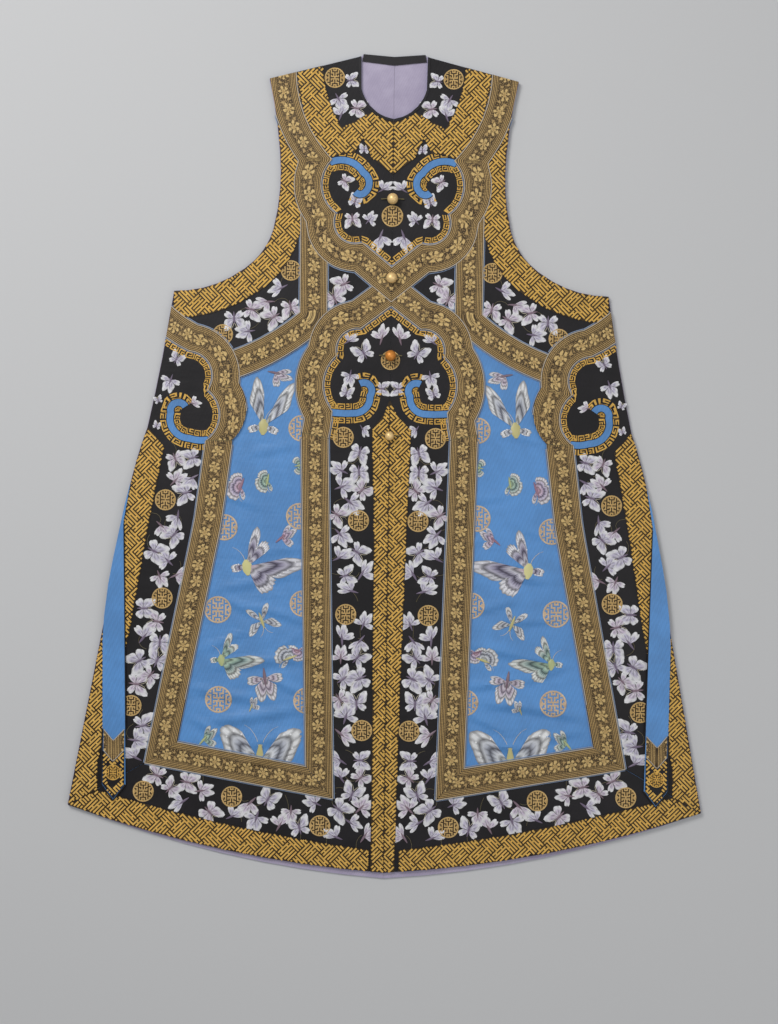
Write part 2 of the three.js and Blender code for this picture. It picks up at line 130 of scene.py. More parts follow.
# Cords: radius, the layer under them, how far they sink into it and, for the thinnest, their sides.
CORDS = {
    "edge_piping": (0.9, "front", 1.2),
    "ground_join": (0.9, "ground", 0.5),
    "ribbon_join": (1.3, "ribbon", 1.15),
    "ribbon_piping": (0.85, "ribbon", 0.25),
    "ribbon_edge_line": (0.8, "ground", 0.1),
    "scroll_piping": (0.6, "fret", 0.15),
    "stem": (0.4, "ground", 0.05, 4),
    "chevron_piping": (0.8, "streamer_trim", 0.2),
    "streamer_edge": (0.9, "streamer", 0.2),
    "streamer_end": (1.5, "streamer", 0.2),
    "button_ring": (1.0, "ribbon", -0.4),
    "button_loop": (0.9, "ribbon", -0.3),
}
OPENING_EDGE = 3        # an outline nearer the middle than this is the opening's
NECK_HALF, NECK_FOOT = 58, 400      # the neckline lies inside and above these
SEAM_NEAR = 1.6         # how near a ground's corner counts as on the hem ground's edge
TURN_REACH = 3.0        # how far either side of a place a line's direction is read
EDGE_LINE_OUT = 2.1     # from a ribbon's edge to the thin line beside it
ON_EDGE = 0.9           # how near a point counts as on an outline's edge
BY_EDGE = 2.9           # and as beside it
LOBE_FRET_OUT = 2.6     # from a ribbon's line to the narrow fret
SCROLL_FRET_OUT = 0.6   # from a scroll's edge to the narrow fret
NARROW_CELL = 0.78      # cell of the narrow fret against the broad one's
CORD_INSET = 0.45       # how much narrower a couched bar is at its top
# Butted ends of the lobed ribbons and the straight ones.
RIBBON_JOINS = (((101.5, 44.4, 0), (144.2, 54, 0)), ((259.5, 38.9, 0), (302.5, 38.7, 0)))
# Lobed edges: ribbon, the scroll that springs from it, and the ground under both.
LOBES = (
    ("collar_ribbon", "collar_scroll", "yoke_ground"),
    ("centre_ribbon", "centre_scroll", "front_ground"),
    ("side_ruyi_ribbon", "side_scroll", "side_ground"),
)
# Which side of its line each ribbon lies on: 1 for the left of the run, -1 for the right.
RIBBON_SIDE = {name: (-1 if name == "armhole_ribbon" else 1) for name in RIBBON_LINES}

# ------------------------------------------------------------------ embroidery, wearer's left
# Roundels on the black: x, y, radius.
BLACK_ROUNDELS = (
    (98, 640, 17), (166, 321, 17), (277, 214, 17), (76, 47, 17.5), (49, -90, 17.5),
    (68, -245, 17.5), (39, -436, 17.5), (368, -60, 17.5), (371, -222, 17.5), (420, -400, 17.5),
    (398, -541, 17.5), (252, -548, 17.5), (106, -594, 17.5),
)
# Roundels under the opening: name, y, radius.
MIDDLE_ROUNDELS = (("upper", 413, 18), ("lower", 175, 16))
RIM_SIDES = 24
PLATE_HEIGHT = 0.12
# Roundels on the blue: x, y, radius.
BLUE_ROUNDELS = (
    (279, -240, 22.5), (276, -388, 22.5), (145, 61, 22), (147, -84, 22), (139, -228, 22),
    (131, -388, 22), (270, -104, 22),
)
# Small butterflies in the yoke, the gussets and the ruyi heads: x, y, size, turn in degrees.
YOKE_BUTTERFLIES = (
    (72, 636, 24, 80), (92, 606, 30, 150), (87, 578, 30, 20), (62, 590, 30, 100),
    (48, 522, 17, 0), (17, 456, 27, 60), (66, 408, 27, 175), (39, 405, 24, 40),
    (19, 380, 36, 200), (80, 470, 24, 120), (62, 436, 22, 20),
    (15, 210, 33, 15), (44, 186, 33, 330), (66, 150, 28, 190), (70, 205, 26, 60),
    (14, 128, 24, 90), (72, 120, 22, 20), (45, 62, 22, 150),
    (353, 172, 24, 30), (362, 138, 30, 200), (327, 100, 22, 100), (382, 104, 14, 340),
    (384, 62, 13, 20),
)
YOKE_SCALE = 1.22       # of the sizes above
SMALL_KINDS = ("plain", "raised", "perched", "plain", "broad", "perched")
SMALL_SILKS = ("silver", "silver", "blush")
STREWN_SIZES = (37, 46)
STREWN_TRIES = 4200     # places drawn on each ground
STREWN_EDGE = 12        # kept from an edge
STREWN_SPACING = 26     # kept from each other
STEM = 24               # length of a stem
# Black bands strewn with small butterflies: ground and the height they stay below.
STREWN = (("front_ground", 28), ("side_ground", 12), ("hem_ground", 0), ("underarm_ground", 340))
# Large butterflies on the blue: x, y, size, turn, kind, palette.
BLUE_BUTTERFLIES = (
    (208, 64, 104, 4, "vee", "pale"), (244, -36, 56, 200, "curled", "pink"),
    (200, -26, 46, 190, "curled", "green"), (232, -168, 104, -8, "great", "violet"),
    (176, -120, 46, 50, "perched", "pink"), (206, -258, 58, 160, "tailed", "pale"),
    (272, -322, 74, -4, "great", "green"),
    (160, -318, 52, 250, "curled", "pale"), (200, -352, 66, 172, "raised", "blush"),
    (207, -490, 146, 2, "spread", "pale"), (300, -455, 46, 40, "perched", "green"),
    (190, 152, 48, 100, "perched", "blush"), (146, 0, 38, 80, "broad", "green"),
    (148, -305, 40, 110, "curled", "pink"), (222, -400, 30, 20, "perched", "pale"),
)
# The streamer's middle, its inner edge over the black, its two rows of chevron piping and its end.
STREAMER_MIDDLE = ((448, -30, 0), (447, -560, 0))
STREAMER_EDGE = ((435.6, -100, 0), (427.6, -436, 0))
CHEVRON_LINES = (
    ((430, -439, 0), (448, -458, 0), (464, -439, 0)), ((430, -473, 0), (448, -492, 0), (464, -473, 0)),
)
CHEVRON_TOP = -434
END_ROUNDEL = (447.5, -510, 13)
END_CENTRE = (447.5, -512)
END_BARE = 0.62         # share of the end inside its fret
# Knob buttons down the opening: node, y, radius.
BUTTONS = (
    ("button_1", 440, 9.0), ("button_2", 310, 9.0), ("button_3", 182, 9.0), ("button_4", 50, 7.5),
)
# One repeat of the key fret, charted for couched cord.
KEY_FRET = (
    "#########.#.#.#.#.#.",
    "....#.....#.#.#.#.#.",
    "###########.#.#.#.#.",
    "..........#.#.###.#.",
    "#########.#.#.#.#.#.",
    "......#...#.#.#.#.#.",
    "#########.#.###.#.##",
    "..#.......#.#.#.#.#.",
    "#########.#.#.#.#.#.",
    "....#.........#.....",
    "#.#.#.#.#.#########.",
    "#.#.#.#.#.....#.....",
    "#.#.#.###.#########.",
    "#.#.#.#.#...........",
    "#.###.#.###########.",
    "#.#.#.#.#.......#...",
    "#.#.#.#.#.#########.",
    "#.#.#.###...#.......",
    "#.#.#.#.#.#########.",
    "......#...........#.",
)
# One repeat of the narrow fret, across by along, for the edges of the lobes.
EDGE_FRET = (
    "#.#.#",
    "#.#.#",
    "#.###",
    "#....",
    "#####",
    ".....",
    "#####",
    "....#",
    "###.#",
    "#.#.#",
    "#.#.#",
    "#...#",
    "#####",
    ".....",
)
# A plain geometric medallion.
MEDALLION = (
    "....#.#.#.#....",
    "..#.#.###.#.#..",
    ".##.#.....#.##.",
    "....###.###....",
    "###...#.#...###",
    "..#.#.#.#.#.#..",
    "#.#.#######.#.#",
    "###....#....###",
    "#.#.#######.#.#",
    "..#.#.#.#.#.#..",
    "###...#.#...###",
    "....###.###....",
    ".##.#.....#.##.",
    "..#.#.###.#.#..",
    "....#.#.#.#....",
)
# Silk colours from the root of a wing to its edge.
PALETTES = {
    "silver": ((0.30, 0.22, 0.42), (0.90, 0.86, 0.93), (0.68, 0.62, 0.82), (0.97, 0.95, 0.97),
               (0.98, 0.97, 0.98)),
    "blush": ((0.44, 0.28, 0.44), (0.94, 0.87, 0.91), (0.76, 0.62, 0.80), (0.97, 0.94, 0.96),
              (0.98, 0.97, 0.98)),
    "pale": ((0.40, 0.48, 0.40), (0.93, 0.95, 0.94), (0.50, 0.54, 0.66), (0.96, 0.97, 0.97),
             (0.98, 0.98, 0.97)),
    "green": ((0.26, 0.46, 0.30), (0.62, 0.80, 0.58), (0.30, 0.50, 0.48), (0.88, 0.93, 0.84),
              (0.95, 0.95, 0.93)),
    "pink": ((0.60, 0.26, 0.40), (0.90, 0.66, 0.76), (0.60, 0.52, 0.76), (0.93, 0.84, 0.90),
             (0.95, 0.95, 0.95)),
    "violet": ((0.70, 0.42, 0.56), (0.93, 0.92, 0.96), (0.30, 0.26, 0.44), (0.88, 0.86, 0.95),
               (0.97, 0.97, 0.98)),
}
BODY_SILK = {
    "silver": (0.16, 0.12, 0.18), "blush": (0.20, 0.13, 0.16), "pale": (0.55, 0.50, 0.20),
    "green": (0.45, 0.50, 0.22), "pink": (0.30, 0.16, 0.22), "violet": (0.66, 0.62, 0.26),
}


# ------------------------------------------------------------------ the ribbon's woven figure, metres
REPEAT = 0.027                  # from one flower head to the next
SELVEDGE = (0.0108, 0.0114)     # from the middle to where the dark field gives way to stripes
STRIPE, PICK, RIB = 0.0026, 0.0022, 0.0007
HEAD, LOBE, HEAD_SWING = 0.0086, 0.0012, 0.0012
HEART, RING, LEAF_SWING = 0.0026, 0.0046, 0.0052
PETALS = 6

# ------------------------------------------------------------------ stage, metres
CLOTH_TOP = 0.006       # a level near the upper side of the cloth
VIEW_WIDTH = 1.2837     # what the camera takes in at that level
CAMERA_PLACE = (0.001, -0.075, 3.4)
CAMERA_TURN = 0.785     # degrees
FLOOR_SIZE = 14
# Lamps: name, place, size, power in watts.
LAMPS = (
    ("Key", (-1.4, 1.7, 2.5), 1.3, 58), ("Fill", (1.9, -0.6, 2.6), 2.4, 16),
    ("Top", (0.0, 0.2, 3.8), 2.6, 14),
)


# ------------------------------------------------------------------ lines and the lie of the cloth
def trace(rows, step=2.0):
    """The curve through rows of x, y and bow, as points a step apart."""
    line = [np.array(rows[0][:2], float)]
    for (x0, y0, _), (x1, y1, bow) in zip(rows, rows[1:]):
        start, run = np.array((x0, y0), float), np.array((x1 - x0, y1 - y0), float)
        length = math.hypot(*run)
        along, left = run / length, np.array((-run[1], run[0])) / length
        turn = 2 * math.atan2(2 * bow, length)
        count = max(1, math.ceil(length / step))
        for share in (index / count for index in range(1, count + 1)):
            place = start + run * share
            if abs(turn) > 1e-6:
                angle = turn * (1 - 2 * share)
                ahead = length / 2 * (1 - math.sin(angle) / math.sin(turn))
                out = length / 2 / math.sin(turn) * (math.cos(angle) - math.cos(turn))
                place = start + along * ahead + left * out
            line.append(place)
    return np.array(line)


def nearest(spots, line):
    """Distance from each spot to a line, and how far along the line the nearest point is."""
    spots = np.asarray(spots, float)
    start, run = line[:-1], line[1:] - line[:-1]
    size = np.maximum((run ** 2).sum(1), 1e-12)
    reach = np.concatenate(([0.0], np.cumsum(np.sqrt(size))))
    best, along = np.full(len(spots), np.inf), np.zeros(len(spots))
    for index in range(len(start)):
        offset = spots - start[index]
        share = np.clip(offset @ run[index] / size[index], 0, 1)
        miss = np.linalg.norm(offset - share[:, None] * run[index], axis=1)
        closer = miss < best
        best = np.where(closer, miss, best)
        along = np.where(closer, reach[index] + share * math.sqrt(size[index]), along)
    return best, along


def beside(line, distance):
    """The line moved to its left by a distance, trimmed where it would fold over itself."""
    run = np.diff(line, axis=0)
    normal = np.stack((-run[:, 1], run[:, 0]), 1) / np.linalg.norm(run, axis=1)[:, None]
    first = np.vstack((normal[:1], normal))
    second = np.vstack((normal, normal[-1:]))
    facing = (first * second).sum(1)
    turn = first[:, 0] * second[:, 1] - first[:, 1] * second[:, 0]
    keep = ~((facing < 0.8) & (turn * distance > 0))
    moved = line + (first + second) / (1 + np.maximum(facing, 0))[:, None] * distance
    moved = moved[keep]
    miss, _ = nearest(moved, line)
    return moved[miss > abs(distance) - 0.01]


def inside(spots, loop):
    """Which spots lie inside a closed outline."""
    x, y = spots[:, 0], spots[:, 1]
    hit = np.zeros(len(spots), bool)
    for (x0, y0), (x1, y1) in zip(loop, np.roll(loop, -1, axis=0)):
        if y0 == y1:
            continue
        crosses = (y0 > y) != (y1 > y)
        hit ^= crosses & (x < (x1 - x0) * (y - y0) / (y1 - y0) + x0)
    return hit


def closed(loop):
    return np.vstack((loop, loop[:1]))


def lift(x, y):
    """How far the front stands off the flat back, softened between the sections."""
    total = 0.0
    for shift in SOFT_ALONG:
        half = np.interp(y + shift, SECTIONS[:, 0], SECTIONS[:, 1])
        height = np.interp(y + shift, SECTIONS[:, 0], SECTIONS[:, 2])
        place = np.clip(x / half, -1, 1)
        share = sum(np.interp(place + move, ACROSS[:, 0], ACROSS[:, 1]) for move in SOFT_ACROSS)
        total = total + height * share / len(SOFT_ACROSS)
    return total / len(SOFT_ALONG)


def crease(x, y):
    """Soft troughs with a low ridge beside them."""
    total = np.zeros_like(x, float)
    for cx, cy, length, width, depth, turn, bend in CREASES:
        angle = math.radians(turn)
        along = (x - cx) * math.cos(angle) + (y - cy) * math.sin(angle)
        off = (y - cy) * math.cos(angle) - (x - cx) * math.sin(angle) - bend * along ** 2
        fade = np.exp(-((2 * along / length) ** 4))
        trough = -TROUGH[0] * np.exp(-((off / (TROUGH[1] * width)) ** 2))
        ridge = RIDGE[0] * np.exp(-(((off - RIDGE[1] * width) / (RIDGE[2] * width)) ** 2))
        total += depth * fade * (trough + ridge)
    return total * bpy.context.scene.waistcoat.crease_depth


def surface(x, y, layer):
    """Height of a layer's upper face."""
    x, y = np.asarray(x, float), np.asarray(y, float)
    top = LAYERS[layer][1]
    if layer in ("back", "lining"):
        return np.full_like(x, top)
    return top + lift(x, y) + crease(x, y)


# ------------------------------------------------------------------ meshes
def outlines(node):
    """The outlines of a CAD node's upper face, in millimetres."""
    mesh = bmesh.new()
    mesh.from_mesh(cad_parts[node].data)
    bmesh.ops.remove_doubles(mesh, verts=mesh.verts, dist=2e-6)
    mesh.normal_update()
    upper = [face for face in mesh.faces if face.normal.z > 0.5]
    shown = set(upper)
    follow = {}
    for face in upper:
        for loop in face.loops:
            if sum(other in shown for other in loop.edge.link_faces) == 1:
                follow.setdefault(loop.vert, []).append(loop.link_loop_next.vert)
    loops = []
    while follow:
        start = next(iter(follow))
        here, loop = start, []
        while here in follow:
            loop.append((here.co.x / MM, here.co.y / MM))
            ahead = follow[here].pop()
            if not follow[here]:
                del follow[here]
            here = ahead
        loops.append(straightened(np.array(loop)))
    mesh.free()
    return [loop for loop in loops if len(loop) > 2 and area_of(loop) > 4]


def straightened(loop):
    """The loop without the points that lie on a straight run."""
    before, after = np.roll(loop, 1, axis=0), np.roll(loop, -1, axis=0)
    span = after - before
    away = span[:, 0] * (loop - before)[:, 1] - span[:, 1] * (loop - before)[:, 0]
    return loop[np.abs(away) > 0.004 * np.linalg.norm(span, axis=1)]


def area_of(loop):
    x, y = loop[:, 0], loop[:, 1]
    return abs((x * np.roll(y, -1) - y * np.roll(x, -1)).sum()) / 2


def select_only(piece):
    bpy.ops.object.select_all(action="DESELECT")
    piece.select_set(True)
    bpy.context.view_layer.objects.active = piece


def made_object(name, mesh):
    piece = bpy.data.objects.new(name, mesh)
    bpy.context.scene.collection.objects.link(piece)
    return piece


def flat_mesh(loops, grid):
    """A flat sheet over the outlines, cut into a fine grid."""
    mesh = bmesh.new()
    for loop in loops:
        mesh.faces.new([mesh.verts.new((x, y, 0)) for x, y in loop])
    mesh.normal_update()
    down = [face for face in mesh.faces if face.normal.z < 0]
    if down:
        bmesh.ops.reverse_faces(mesh, faces=down)
    points = np.vstack(loops)
    for axis in (0, 1):
        low, high = points[:, axis].min(), points[:, axis].max()
        place = math.floor(low / grid) * grid + grid * 0.37
        while place < high:
            if place > low:
                centre, normal = [0, 0, 0], [0, 0, 0]
                centre[axis], normal[axis] = place, 1
                parts = mesh.verts[:] + mesh.edges[:] + mesh.faces[:]
                bmesh.ops.bisect_plane(mesh, geom=parts, dist=0.01, plane_co=centre, plane_no=normal)
            place += grid
    bmesh.ops.remove_doubles(mesh, verts=mesh.verts, dist=0.02)
    wide = [face for face in mesh.faces if len(face.verts) > 4]
    bmesh.ops.triangulate(mesh, faces=wide)
    return mesh


def shell(name, node, layer, material, grid=8.0, line=None, width=None):
    """A sheet of cloth on the form of a CAD node; the size of its cut is worked out but not used."""
    loops = outlines(node)
    mesh = flat_mesh(loops, grid)
    places = np.array([vert.co[:2] for vert in mesh.verts])
    heights = surface(places[:, 0], places[:, 1], layer)
    if line is not None:
        across, along = nearest(places, line)
        weave = mesh.loops.layers.uv.new("Weave")
        mesh.verts.ensure_lookup_table()
        for face in mesh.faces:
            for loop in face.loops:
                index = loop.vert.index
                loop[weave].uv = (across[index] * MM, along[index] * MM)
    for vert, height in zip(mesh.verts, heights):
        vert.co = (vert.co.x * MM, vert.co.y * MM, height * MM)
    data = bpy.data.meshes.new(name)
    mesh.to_mesh(data)
    mesh.free()
    piece = made_object(name, data)
    bottom, top = LAYERS[layer]
    solid = piece.modifiers.new("Wall", "SOLIDIFY")
    solid.thickness = (top - bottom) * MM
    solid.offset = -1
    select_only(piece)
    bpy.ops.object.modifier_apply(modifier=solid.name)
    bpy.ops.object.shade_smooth_by_angle(angle=math.radians(40))
    piece.data.materials.append(material)
    cut = sum(area_of(loop) for loop in loops) * MM * MM
    points = np.vstack(loops)
    size = (points.max(0) - points.min(0)) * MM
    if width:
        size = (max(width * MM, 0.01), cut / (width * MM) * 1.01)
        cut = min(cut, size[0] * size[1])
    elif cut < 0.35 * size[0] * size[1]:
        size = (cut / size.max() * 1.5, size.max())
    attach(piece, "root")
    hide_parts(node)
    return piece


def ribbon_loops(side):
    """Outlines of all the ribbons of one side."""
    return [loop for name in RIBBON_LINES for loop in outlines(f"{name}_{side}")]


class Stock:
    """Corners, faces, colours and weave places gathered for one joined mesh."""

    def __init__(self):
        self.points, self.faces, self.tints, self.weave = [], [], [], []

    def grid(self, points, tints=None, weave=None, wrap=False):
        """Adds a net of rows by columns of points."""
        rows, columns = points.shape[:2]
        first = len(self.points)
        flat = points.reshape(-1, 3)
        self.points.extend(flat)
        blank = np.ones((rows * columns, 3)) * 0.8
        self.tints.extend(blank if tints is None else np.asarray(tints).reshape(-1, 3))
        empty = np.zeros((rows * columns, 2))
        self.weave.extend(empty if weave is None else np.asarray(weave).reshape(-1, 2))
        for row in range(rows - 1):
            for column in range(columns if wrap else columns - 1):
                ahead = (column + 1) % columns
                a = first + row * columns
                self.faces.append((a + column, a + ahead, a + columns + ahead, a + columns + column))

    def box(self, corners, base, height, inset):
        """Adds a low bar with a narrower top; corners run round its foot."""
        corners = np.asarray(corners, float)
        centre = corners.mean(0)
        size = np.maximum(np.abs(corners - centre), 1e-6)
        top = centre + (corners - centre) * np.maximum(1 - inset / size, 0.2)
        first = len(self.points)
        for ring, z in ((corners, 0.0), (top, height)):
            for x, y in ring:
                self.points.append((x, y, z + base))
                self.tints.append((0.8, 0.8, 0.8))
                self.weave.append((x, y))
        for index in range(4):
            ahead = (index + 1) % 4
            self.faces.append((first + index, first + ahead, first + 4 + ahead, first + 4 + index))
        self.faces.append((first + 4, first + 5, first + 6, first + 7))

    def piece(self, name, material, slot, layer=None, smooth=True, with_tints=False):
        """Makes the joined mesh; heights are taken from a layer where one is named."""
        points = np.array(self.points, float)
        if layer:
            points[:, 2] += surface(points[:, 0], points[:, 1], layer)
        data = bpy.data.meshes.new(name)
        data.from_pydata((points * MM).tolist(), [], self.faces)
        loops = np.zeros(len(data.loops), int)
        data.loops.foreach_get("vertex_index", loops)
        weave = data.uv_layers.new(name="Weave")
        weave.data.foreach_set("uv", (np.array(self.weave)[loops] * MM).ravel())
        if with_tints:
            colour = data.color_attributes.new("Silk", "FLOAT_COLOR", "POINT")
            tints = np.hstack((np.array(self.tints), np.ones((len(points), 1))))
            colour.data.foreach_set("color", tints.ravel())
        data.materials.append(material)
        piece = made_object(name, data)
        select_only(piece)
        if smooth:
            bpy.ops.object.shade_smooth_by_angle(angle=math.radians(50))
        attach(piece, "root")
        return piece


def cord_along(stock, line, radius, layer, sink=0.0, sides=6):
    """Adds a round cord on a line of points, on the upper face of a layer."""
    line = np.asarray(line, float)
    run = np.gradient(line, axis=0)
    run /= np.maximum(np.linalg.norm(run, axis=1), 1e-9)[:, None]
    normal = np.stack((-run[:, 1], run[:, 0]), 1)
    height = surface(line[:, 0], line[:, 1], layer) - sink
    turns = np.linspace(0, 2 * math.pi, sides, endpoint=False)
    along = np.concatenate(([0], np.cumsum(np.linalg.norm(np.diff(line, axis=0), axis=1))))
    rings = np.zeros((len(line), sides, 3))
    weave = np.zeros((len(line), sides, 2))
    for index, turn in enumerate(turns):
        rings[:, index, :2] = line - normal * radius * math.cos(turn)
        rings[:, index, 2] = height + radius * math.sin(turn)
        weave[:, index, 0] = index / sides * 6.0
        weave[:, index, 1] = along
    stock.grid(rings, weave=weave, wrap=True)
    for ring, reverse in ((0, False), (len(line) - 1, True)):
        first = len(stock.points) - len(line) * sides + ring * sides
        cap = list(range(first, first + sides))
        stock.faces.append(tuple(cap if reverse else cap[::-1]))


def kept_runs(points, keep, least=3):
    """The stretches of a line whose points are kept."""
    runs, run = [], []
    for point, good in zip(points, keep):
        if good:
            run.append(point)
        elif run:
            runs.append(run)
            run = []
    if run:
        runs.append(run)
    return [np.array(run) for run in runs if len(run) >= least]


def eased(line, step=4.0):
    """The line with fewer points where it hardly turns."""
    kept = [line[0]]
    heading = line[1] - line[0]
    for index in range(1, len(line) - 1):
        run = line[index + 1] - line[index]
        size = np.linalg.norm(run) * np.linalg.norm(heading)
        turned = size < 1e-9 or (run @ heading) / size < 0.993
        far = np.linalg.norm(line[index] - kept[-1])
        if far >= 6 * step or (turned and far >= step * 0.5):
            kept.append(line[index])
            heading = run
    kept.append(line[-1])
    return np.array(kept)


def mirrored(points, sign):
    points = np.array(points, float)
    points[..., 0] *= sign
    return points


# ------------------------------------------------------------------ shader helpers
def maths(tree, operation, first, second=0.0, third=0.0, clamp=False):
    node = tree.nodes.new("ShaderNodeMath")
    node.operation = operation
    node.use_clamp = clamp
    for socket, value in zip(node.inputs, (first, second, third)):
        if isinstance(value, (int, float)):
            socket.default_value = value
        else:
            tree.links.new(value, socket)
    return node.outputs[0]


def plus(tree, first, second):
    return maths(tree, "ADD", first, second)


def minus(tree, first, second):
    return maths(tree, "SUBTRACT", first, second)


def times(tree, first, second):
    return maths(tree, "MULTIPLY", first, second)


def blend(tree, factor, first, second, kind="MIX"):
    node = tree.nodes.new("ShaderNodeMix")
    node.data_type = "RGBA"
    node.blend_type = kind
    for socket, value in ((node.inputs[0], factor), (node.inputs[6], first), (node.inputs[7], second)):
        if isinstance(value, (int, float)):
            socket.default_value = value
        elif isinstance(value, (tuple, list)):
            socket.default_value = (*value, 1.0)
        else:
            tree.links.new(value, socket)
    return node.outputs[2]


def step_between(tree, value, low, high):
    node = tree.nodes.new("ShaderNodeMapRange")
    node.interpolation_type = "SMOOTHSTEP"
    tree.links.new(value, node.inputs[0])
    node.inputs[1].default_value = low
    node.inputs[2].default_value = high
    return node.outputs[0]


def noise(tree, vector, scale, detail=3.0, rough=0.5):
    node = tree.nodes.new("ShaderNodeTexNoise")
    tree.links.new(vector, node.inputs["Vector"])
    node.inputs["Scale"].default_value = scale
    node.inputs["Detail"].default_value = detail
    node.inputs["Roughness"].default_value = rough
    return node.outputs[0]


def new_group(name, inputs, outputs):
    tree = bpy.data.node_groups.new(name, "ShaderNodeTree")
    for label, kind, value in inputs:
        socket = tree.interface.new_socket(name=label, in_out="INPUT", socket_type=kind)
        if value is not None:
            socket.default_value = value
    for label, kind in outputs:
        tree.interface.new_socket(name=label, in_out="OUTPUT", socket_type=kind)
    start = tree.nodes.new("NodeGroupInput")
    end = tree.nodes.new("NodeGroupOutput")
    return tree, start, end


def placed(tree, group, **values):
    node = tree.nodes.new("ShaderNodeGroup")
    node.node_tree = group
    for label, value in values.items():
        socket = node.inputs[label.replace("_", " ")]
        if isinstance(value, (int, float)):
            socket.default_value = value
        elif isinstance(value, (tuple, list)):
            socket.default_value = (*value, 1.0)
        else:
            tree.links.new(value, socket)
    return node


# Kinds of socket on the shader groups.
FLOAT, COLOUR, VECTOR = "NodeSocketFloat", "NodeSocketColor", "NodeSocketVector"


def satin_group():
    """Long floats of satin with uneven dye and small puckers."""
    group, start, end = new_group(
        "Satin cloth",
        [("Vector", VECTOR, None), ("Light", COLOUR, None), ("Deep", COLOUR, None),
         ("Thread", FLOAT, 1400.0), ("Pucker", FLOAT, 0.5)],
        [("Color", COLOUR), ("Height", FLOAT), ("Rough", FLOAT)])
    vector = start.outputs["Vector"]
    broad = noise(group, vector, 7.0, 3.0)
    cloud = noise(group, vector, 34.0, 4.0, 0.6)
    split = group.nodes.new("ShaderNodeSeparateXYZ")
    group.links.new(vector, split.inputs[0])
    wobble = times(group, noise(group, vector, 60.0, 2.0), 0.004)
    across = times(group, plus(group, split.outputs[0], wobble), start.outputs["Thread"])
    along = times(group, split.outputs[1], times(group, start.outputs["Thread"], 0.31))
    thread = maths(group, "SINE", across)
    pick = maths(group, "SINE", plus(group, along, times(group, across, 0.37)))
    weave = maths(group, "MULTIPLY_ADD", times(group, thread, pick), 0.5, 0.5)
    mixed = maths(group, "MULTIPLY_ADD", broad, 0.55, times(group, cloud, 0.45))
    factor = step_between(group, mixed, 0.36, 0.66)
    tone = blend(group, factor, start.outputs["Deep"], start.outputs["Light"])
    shade = maths(group, "MULTIPLY_ADD", weave, 0.14, 0.93)
    grey = group.nodes.new("ShaderNodeCombineColor")
    for socket in grey.inputs:
        group.links.new(shade, socket)
    colour = blend(group, 1.0, tone, grey.outputs[0], "MULTIPLY")
    stretch = group.nodes.new("ShaderNodeVectorMath")
    stretch.operation = "MULTIPLY"
    stretch.inputs[1].default_value = (0.55, 1.5, 1.0)
    group.links.new(vector, stretch.inputs[0])
    pucker = noise(group, stretch.outputs[0], 46.0, 4.0, 0.55)
    height = plus(group, times(group, pucker, start.outputs["Pucker"]), times(group, weave, 0.05))
    group.links.new(colour, end.inputs["Color"])
    group.links.new(height, end.inputs["Height"])
    group.links.new(maths(group, "MULTIPLY_ADD", cloud, 0.16, 0.36), end.inputs["Rough"])
    return group


def twist_group():
    """Twisted or wrapped thread, read along the piece's own weave places."""
    group, start, end = new_group(
        "Thread twist",
        [("Vector", VECTOR, None), ("Pitch", FLOAT, 0.001), ("Lean", FLOAT, 1.0)],
        [("Height", FLOAT), ("Mask", FLOAT)])
    split = group.nodes.new("ShaderNodeSeparateXYZ")
    group.links.new(start.outputs["Vector"], split.inputs[0])
    lean = maths(group, "MULTIPLY_ADD", split.outputs[0], start.outputs["Lean"], split.outputs[1])
    turns = maths(group, "DIVIDE", times(group, lean, 2 * math.pi), start.outputs["Pitch"])
    wave = maths(group, "MULTIPLY_ADD", maths(group, "SINE", turns), 0.5, 0.5)
    group.links.new(wave, end.inputs["Height"])
    group.links.new(step_between(group, wave, 0.1, 0.9), end.inputs["Mask"])
    return group


